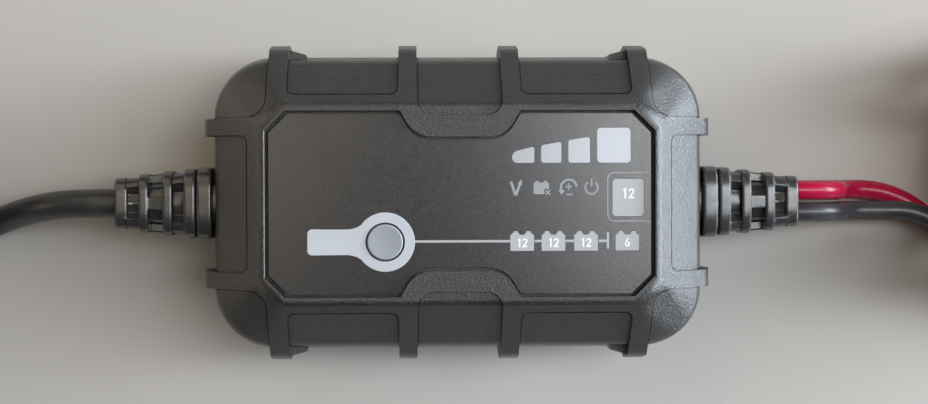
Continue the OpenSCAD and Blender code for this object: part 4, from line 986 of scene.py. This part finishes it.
# %% Printed lines
RULE_HALF, CORNER_R = 0.25, 1.3
PRINT_TOP = PLATE_TOP + 0.025
RULE_LOW, RULE_TOP = LINE_Y - RULE_HALF, LINE_Y + RULE_HALF
rule_lines = [[(a, RULE_LOW), (b, RULE_LOW), (b, RULE_TOP), (a, RULE_TOP)]
              for a, b in ((-9.2, 10.2), (15.0, 16.5), (21.3, 23.2), (28.0, 29.66))]
rule_lines.append(block(29.9, -7.5, 0.45, 3.4, 0.05))
frame_line = stroke([(38.6, 6.2), (31.2, 6.2)] + arc(31.2, 4.9, CORNER_R, 90, 180, 6)[1:]
                    + arc(31.2, -2.3, CORNER_R, 180, 270, 6) + [(38.6, -3.6)], 0.16)
prints = flat_piece("printed_lines", rule_lines + [frame_line], PLATE_TOP, PRINT_TOP, 0.005)
dress(prints, "window_plastic")
print("printed lines have", len(prints.data.polygons), "faces")

# %% How a number is drawn, each digit as one line on a field of height 1
PEN, DIGIT_STEP = 0.19, 0.6
DIGITS = {
    "1": [(-0.17, 0.27), (0.0, 0.41), (0.0, -0.5)],
    "2": [(-0.21, 0.2)] + arc(0, 0.2, 0.21, 165, -35, 8) + [(-0.17, -0.41), (0.27, -0.41)],
    "6": arc(0, -0.19, 0.21, 140, -220, 14) + [(-0.14, 0.1), (0.1, 0.47)],
}


def number(text, x, y, height):
    """Outlines of a number whose middle is at x, y."""
    step = DIGIT_STEP * height
    first = x - step * (len(text) - 1) / 2
    return [moved(stroke([(px * height, py * height) for px, py in DIGITS[sign]], PEN * height),
                  first + step * i, y) for i, sign in enumerate(text)]


# %% The numbers
finishes["white_print"] = moulded("white_print", (0.78, 0.79, 0.82), 0.45, 4000, 300, 0.000002,
                                  drift=1.05, rub=0.0, dust=0.02)
digit_outlines = number("12", 34.05, 2.0, 2.1)
for text, x in zip(("12", "12", "12", "6"), MODE_X):
    digit_outlines += number(text, x, LINE_Y - 0.35, 1.8)
numbers = flat_piece("plain_numbers", digit_outlines, PLATE_TOP + 0.005, PLATE_TOP + 0.04, 0.004)
dress(numbers, "window_plastic")
numbers.data.materials[0] = finishes["white_print"]
print("numbers have", len(numbers.data.polygons), "faces")

# %% [markdown]
# ## The case halves
#
# Each half is one moulding: panels, and a raised frame of ribs, lugs and rim over them, with a
# large radius along the shoulder and a smaller one along the rim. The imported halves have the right
# walls, pocket and posts, but flat facets at their corners and a sharp shoulder. So the outer form
# is modelled again with many more steps and its two radii, a hair smaller, and what the packed
# half and this form share is the finished half: a fine outside round the true inside. A fine
# groove runs where the frame meets the panels, and a narrow dark gap beside the face plate.

# %% Sizes of the outer form, in millimetres from the parting plane
PARTING, FRAME_TOP, LEAN = 21, 21, 1.2
PANELS = {"x": 51.5, "y": 30.8, "radius": 13, "top": 20.1, "drop": 10.6}
FRAME = {"x": 53.5, "y": 33.25, "radius": 15, "top": FRAME_TOP, "drop": 13.05}
FLAT_X, FLAT_Y, FLAT_CUT = 40.3, 20.2, 4.75
INSET = 0.07
SHOULDER_ROUND, RIM_ROUND, ROUND_STEPS = 1.25, 0.8, 6
CORNER_STEPS = 20


# %% Outer form of a half
def ring(x, y, radius, z):
    """A rectangle with round corners at one height."""
    return [(px, py, z)
            for quarter, (i, j) in enumerate(((1, 1), (-1, 1), (-1, -1), (1, -1)))
            for px, py in arc(i * (x - radius), j * (y - radius), radius,
                              90 * quarter, 90 * quarter + 90, CORNER_STEPS)]


def new_mesh_piece(name, points, faces=()):
    mesh = bpy.data.meshes.new(name)
    mesh.from_pydata([[c * MM for c in point] for point in points], [], faces)
    return only(new_piece(name, mesh))


def cover_form(name, low, x, y, radius, top, drop, inset=INSET):
    """A closed form with leaning walls, a round shoulder and slopes up to the flat top."""
    x, y, radius, shoulder, top = x - inset, y - inset, radius - inset, top - drop, top - inset
    flat = [(-FLAT_X, FLAT_Y - FLAT_CUT), (-FLAT_X + FLAT_CUT, FLAT_Y)]
    flat += mirrored(flat[::-1], -1, 1)
    flat += mirrored(flat, 1, -1)
    form = new_mesh_piece(name, ring(x, y, radius, low) + ring(x, y, radius, 0)
                          + ring(x - LEAN, y - LEAN, radius - LEAN, shoulder)
                          + [(px, py, top) for px, py in flat])
    bpy.ops.object.mode_set(mode="EDIT")
    bpy.ops.mesh.select_all(action="SELECT")
    bpy.ops.mesh.convex_hull()
    bpy.ops.mesh.dissolve_limited(angle_limit=math.radians(0.2))
    bpy.ops.object.mode_set(mode="OBJECT")

    def weight_of(edge):
        heights = [v.co.z / MM for v in edge.verts]
        if max(abs(z - shoulder) for z in heights) < 0.01:
            return 1.0
        return RIM_ROUND / SHOULDER_ROUND if min(heights) > top - 0.01 else 0.0

    round_edges(form, weight_of, SHOULDER_ROUND, ROUND_STEPS)
    return form


# %% Prisms, and what two closed pieces make together
def prism(points, low, high):
    """Points and faces of an outline given a height."""
    count = len(points)
    sides = [(i, (i + 1) % count, count + (i + 1) % count, count + i) for i in range(count)]
    return ([(x, y, z) for z in (low, high) for x, y in points],
            [tuple(range(count - 1, -1, -1)), tuple(range(count, 2 * count))] + sides)


def prisms(name, outlines, low, high):
    """One object of several prisms that don't touch."""
    points, faces = [], []
    for outline in outlines:
        area = sum(a[0] * b[1] - a[1] * b[0] for a, b in zip(outline, outline[1:] + outline[:1]))
        more, sides = prism(outline if area > 0 else outline[::-1], low, high)
        faces += [tuple(i + len(points) for i in side) for side in sides]
        points += more
    return new_mesh_piece(name, points, faces)


def combine(piece, other, operation):
    """Joins, cuts or intersects two closed pieces. The other one is used up."""
    apply_modifier(piece, "BOOLEAN", operation=operation, object=other)
    bpy.data.objects.remove(other)
    return piece


# %% Openings of the raised frame, and the small wedges beside the outer ribs
QUARTERS = [(i, j) for i in (1, -1) for j in (1, -1)]
WEDGE_LOW, WEDGE_TOP = -0.5, 5.93
quarter_wedge = [(36.2, 28.8), (36.2, 31.95), (35.2, 31.95), (31.8, 31), (30.8, 28.8)]


def frame_openings(g, out):
    """Outlines of the panels between the ribs, lugs and rim, grown by g. They run on to out."""
    quarter = [
        rounded([(12.5 - g, 22.2 - g), (35.2 + g, 22.2 - g), (35.2 + g, out), (12.5 - g, out)],
                [1.5 + g, 1.5 + g, 0, 0]),
        rounded([(39.3 - g, 17.6 - g), (out, 17.6 - g), (out, out), (39.3 - g, out)],
                [3.9 + g, 0, 0, 0], 10),
    ]
    middle = rounded([(-8.6 - g, 17.8 - g), (8.6 + g, 17.8 - g), (8.6 + g, out), (-8.6 - g, out)],
                     [3.3 + g, 3.3 + g, 0, 0], 8)
    end = rounded([(43.2 - g, -14 - g), (out, -14 - g), (out, 14 + g), (43.2 - g, 14 + g)],
                  [1.5 + g, 0, 0, 1.5 + g])
    return ([mirrored(outline, i, j) for outline in quarter for i, j in QUARTERS]
            + [mirrored(middle, 1, j) for j in (1, -1)] + [mirrored(end, i, 1) for i in (1, -1)])


# %% Panels, with a fine groove where the frame meets them
GROOVE_W, GROOVE_DEEP, GROOVE_LOW, BEYOND, ABOVE = 0.26, 0.3, 1.5, 70, FRAME_TOP + 5
panels = cover_form("panels", -PARTING, **PANELS)
panel_skin = BVHTree.FromObject(panels, bpy.context.evaluated_depsgraph_get())
groove = prisms("groove", frame_openings(INSET, BEYOND), GROOVE_LOW, ABOVE)
combine(groove, prisms("groove_inside", frame_openings(INSET - GROOVE_W, BEYOND + 5),
                       GROOVE_LOW - 0.5, ABOVE + 1), "DIFFERENCE")
combine(groove, cover_form("groove_floor", -PARTING + 1, **PANELS, inset=INSET + GROOVE_DEEP),
        "DIFFERENCE")
combine(panels, groove, "DIFFERENCE")
print("panels have", len(panels.data.polygons), "faces")

# %% The raised frame and the wedges over them
frame_over = cover_form("frame_over", -PARTING + 0.5, **FRAME)
combine(frame_over, prisms("frame_openings", frame_openings(INSET, BEYOND), -PARTING - 5, ABOVE),
        "DIFFERENCE")
outer_form = combine(panels, frame_over, "UNION")
combine(outer_form, prisms("wedges", [mirrored(quarter_wedge, i, j) for i, j in QUARTERS],
                           WEDGE_LOW, WEDGE_TOP), "UNION")
print("outer form has", len(outer_form.data.polygons), "faces")

# %% The dark gap between the rim and the plate: its outer way, and one hidden under the plate
RIM_GAP_LOW, END_GAP, SIDE_GAP, CUT_GAP = 38.8, 0.8, 0.5, 0.15
GAP_START, NEAR_GAP, RIM_LOW = 12.7, 0.12, 17
gap_x, gap_y, gap_cut = PLATE_X + END_GAP, PLATE_Y + SIDE_GAP, PLATE_CUT + CUT_GAP
outer_way = [(GAP_START, gap_y), (gap_x - gap_cut, gap_y), (gap_x, gap_y - gap_cut)]
under_way = [(37.5, 13.5), (34, 17), (GAP_START, 17)]
rim_gap = (outer_way + mirrored(outer_way[::-1], 1, -1) + mirrored(under_way[::-1], 1, -1)
           + under_way)


def on_gap(spot):
    """True on the outer wall of the gap, whose top edge stays crisp."""
    x, y = abs(spot.x), abs(spot.y)
    return spot.z > RIM_LOW and min(abs(x - gap_x), abs(y - gap_y),
                                    abs(x + y - gap_x - gap_y + gap_cut)) < NEAR_GAP


# %% Both halves
HALF_ROUND, INSIDE, NEAR_SKIN = 0.3, (48.6, 27.9, 16.2), GROOVE_DEEP + 0.05
for node, name, turn in (("upper_case", "upper_shell", 1), ("lower_case", "lower_shell", -1)):
    outer = new_piece("outer", outer_form.data.copy())
    outer.data.transform(Matrix.Translation((0, 0, PARTING * MM)) @ Matrix.Diagonal((1, 1, turn, 1)))
    if turn < 0:
        outer.data.flip_normals()
    half = combine(merged_copy(node, name), outer, "INTERSECT")
    if turn > 0:
        combine(half, prisms("rim_gaps", [mirrored(rim_gap, i, 1) for i in (1, -1)],
                             RIM_GAP_LOW, PARTING + FRAME_TOP + 1), "DIFFERENCE")

    def kept_sharp(spot):
        """True inside the half, at the gap and at the fine groove."""
        spot = Vector((spot.x, spot.y, turn * (spot.z - PARTING)))
        deep = abs(spot.x) < INSIDE[0] and abs(spot.y) < INSIDE[1] and spot.z < INSIDE[2]
        return deep or on_gap(spot) or panel_skin.find_nearest(spot * MM)[3] < NEAR_SKIN * MM

    soften(half, HALF_ROUND, sharp=32, skip=kept_sharp)
    dress(half, "case_plastic", "charger", node)
    print(name, "has", len(half.data.polygons), "faces")
bpy.data.objects.remove(outer_form)

# %% [markdown]
# ## The straps round the coils
#
# A hook-and-loop strap is a flat band that goes once round the bundle and closes on itself. Seen
# from its side it is a rounded frame with a thin end lying over it, so that outline is given the
# strap's width and then turned up and placed across the coil. Its reach is read from the packed
# strap.

# %% One strap
STRAP_T, STRAP_SOFT, STRAP_R = 0.8, 0.12, 2.2
strap_points = [v.co / MM for v in nodes["coil_straps"].data.vertices]


def make_strap(centre, angle, width):
    """A closed band across one side of a coil, at an angle in degrees from +X."""
    turn = Matrix.Rotation(math.radians(angle), 4, "Z")
    local = [turn.inverted() @ (v - Vector((*centre, 0))) for v in strap_points]
    near = [v for v in local if v.x > 0 and abs(v.y) < width / 2 + 0.1]
    low, high, top = min(v.x for v in near), max(v.x for v in near), max(v.z for v in near)
    long, x, y = high - low, (low + high) / 2, top / 2
    end = [(low + 4, top + 0.03), (high - 2.5, top + 0.03), (high - 2.5, top + 0.7),
           (low + 4.5, top + 0.62)]
    outlines = [block(x, y, long, top, STRAP_R),
                block(x, y, long - 2 * STRAP_T, top - 2 * STRAP_T, STRAP_R - STRAP_T),
                rounded(end, 0.3)]
    band = flat_piece("strap", outlines, -width / 2, width / 2, STRAP_SOFT)
    upright = Matrix.Rotation(math.radians(90), 4, "X")
    band.data.transform(Matrix.Translation(Vector((*centre, 0)) * MM) @ turn @ upright)
    return band


# %% All four straps as one piece
straps = [make_strap(AC_CENTRE, angle, 9) for angle in (38, 160)]
straps += [make_strap(LEAD_CENTRE, angle, 8) for angle in (-125, 125)]
only(straps[0])
for other in straps[1:]:
    other.select_set(True)
bpy.ops.object.join()
straps = bpy.context.object
straps.name = straps.data.name = "hook_loop_straps"
dress(straps, "strap_fabric", "charger", "coil_straps")
print("straps have", len(straps.data.polygons), "faces")

# %% [markdown]
# ## The clamps' springs
#
# A torsion spring is one round wire: a straight leg, some turns round the pin, and a second leg.
# It bends as the lever opens. A line with thickness gives the round wire at once, and it is made
# a mesh.

# %% The wire's way, from the middle of the pin
SPRING_D, SPRING_R, SPRING_Z, CURLS, CURL_STEPS = 0.9, 2.25, 1.85, 2.5, 24
leg = (-12.5, 5.6 - SPRING_D / 2 - 0.1, SPRING_Z)
wire = [(leg[0], -leg[1], -leg[2]), (-3, -SPRING_R - 0.25, -SPRING_Z)]
for i in range(int(CURL_STEPS * CURLS) + 1):
    a = math.radians(360 * i / CURL_STEPS - 90)
    wire.append((SPRING_R * math.cos(a), SPRING_R * math.sin(a),
                 SPRING_Z * (2 * i / CURL_STEPS / CURLS - 1)))
wire += [(-3, SPRING_R + 0.25, SPRING_Z), leg]
print("spring wire", round(sum(math.dist(a, b) for a, b in zip(wire, wire[1:])), 1), "mm long")

# %% Springs
PIN_X, PIN_Y, PIN_OUT, PIN_Z, BLEND = 130, 7, 18.4, 26.8, 1.5


def make_spring(name, side):
    way = [(PIN_X - x, PIN_Y + side * (PIN_OUT - y), PIN_Z + z) for x, y, z in wire]
    spring = only(new_line(name, [way], dimensions="3D", bevel_depth=SPRING_D / 2 * MM,
                           bevel_resolution=3, use_fill_caps=True))
    bpy.ops.object.convert(target="MESH")
    close_seams(spring)
    bpy.ops.object.shade_smooth()
    return spring


for colour, side in (("red", 1), ("black", -1)):
    spring = make_spring(f"{colour}_spring_wire", side)
    spring.data.materials.append(finishes["spring_steel"])
    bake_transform(spring)
    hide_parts(f"{colour}_clamp_spring")
    print(spring.name, "has", len(spring.data.polygons), "faces")

# %% [markdown]
# ## What the cords are
#
# With the plug and the clamps made, the length of each cord is worked out along its line, and the
# pieces on each lead's far end are gathered.

length_of(routes["mains_cord"])
for colour, lead, y in (("red", red_lead, 2.3), ("black", black_lead, -2.3)):
    on_lead = [made[f"{colour}_{part}"] for part in
               ("jaw_grip", "jaw_lever", "pivot_pin", "grip_strip", "lever_strip")]
    on_lead.append(bpy.data.objects[f"{colour}_spring_wire"])
    length_of(routes[f"{colour}_lead"])
    print(colour, "lead carries", len(on_lead), "pieces")

# %% [markdown]
# ## Floor and light
#
# A dark case shows its form by the soft edges of broad reflections, so the lamps are wide areas
# and not points. Three cool windows stand on the side of the leads: the low one grazes the end of
# the case, the tall one lies on its sloped end, and the high one on the flat of the plate and
# frame. Three weak warm ones across from them keep the far side from going black. The two low
# lamps have a narrow spread, so that the floor under the camera doesn't burn out. Towards the side
# window it still does. The floor is plain and pale.

# %% Floor
FLOOR_SIZE, FLOOR_Z = 6, -0.0002
bpy.ops.object.select_all(action="DESELECT")
bpy.ops.mesh.primitive_plane_add(size=FLOOR_SIZE, location=(0, 0, FLOOR_Z))
floor = bpy.context.object
floor.name = "floor"
floor_finish, tree, shader = new_finish("pale_floor")
fill_sockets(tree, shader, {"Base Color": (0.5, 0.475, 0.445, 1), "Roughness": 0.9})
floor.data.materials.append(floor_finish)
print("floor", FLOOR_SIZE, "m wide")

# %% Lamps
AIM = Vector((0, 0, 0.02))
NARROW, WIDE = 100, 180


def soft_light(name, place, size, watts, colour, cone):
    """A soft lamp aimed at the charger: size across and up, and its cone in degrees."""
    bpy.ops.object.light_add(type="AREA", location=place)
    lamp = bpy.context.object
    lamp.name = name
    lamp.data.shape = "RECTANGLE"
    lamp.data.size, lamp.data.size_y = size
    lamp.data.energy = watts
    lamp.data.color = colour
    lamp.data.spread = math.radians(cone)
    lamp.rotation_euler = (AIM - Vector(place)).to_track_quat("-Z", "Y").to_euler()
    print(name, watts, "W")


soft_light("side_window", (1.0, 0.1, 0.2), (1.2, 0.4), 12.5, (0.8, 0.9, 1.0), NARROW)
soft_light("high_window", (0.355, 0.1, 1.1), (0.3, 0.5), 4.3, (0.93, 0.97, 1.0), WIDE)
soft_light("tall_window", (0.74, 0.08, 0.67), (0.2, 0.6), 4.2, (0.86, 0.93, 1.0), WIDE)
soft_light("warm_card", (-1.1, 0.3, 0.3), (1.2, 0.5), 1.6, (1.0, 0.86, 0.68), NARROW)
soft_light("warm_ceiling", (-0.22, 0.1, 1.2), (0.35, 0.3), 0.8, (1.0, 0.86, 0.7), WIDE)
soft_light("room_fill", (-0.35, 0.6, 0.85), (0.8, 0.8), 2.0, (1.0, 0.83, 0.6), WIDE)

# %% World and view
world = bpy.data.worlds.new("studio")
bpy.context.scene.world = world
world.use_nodes = True
fill_sockets(world.node_tree, world.node_tree.nodes["Background"],
             {"Color": (1, 1, 1, 1), "Strength": 0.06})
bpy.context.scene.view_settings.view_transform = "Standard"
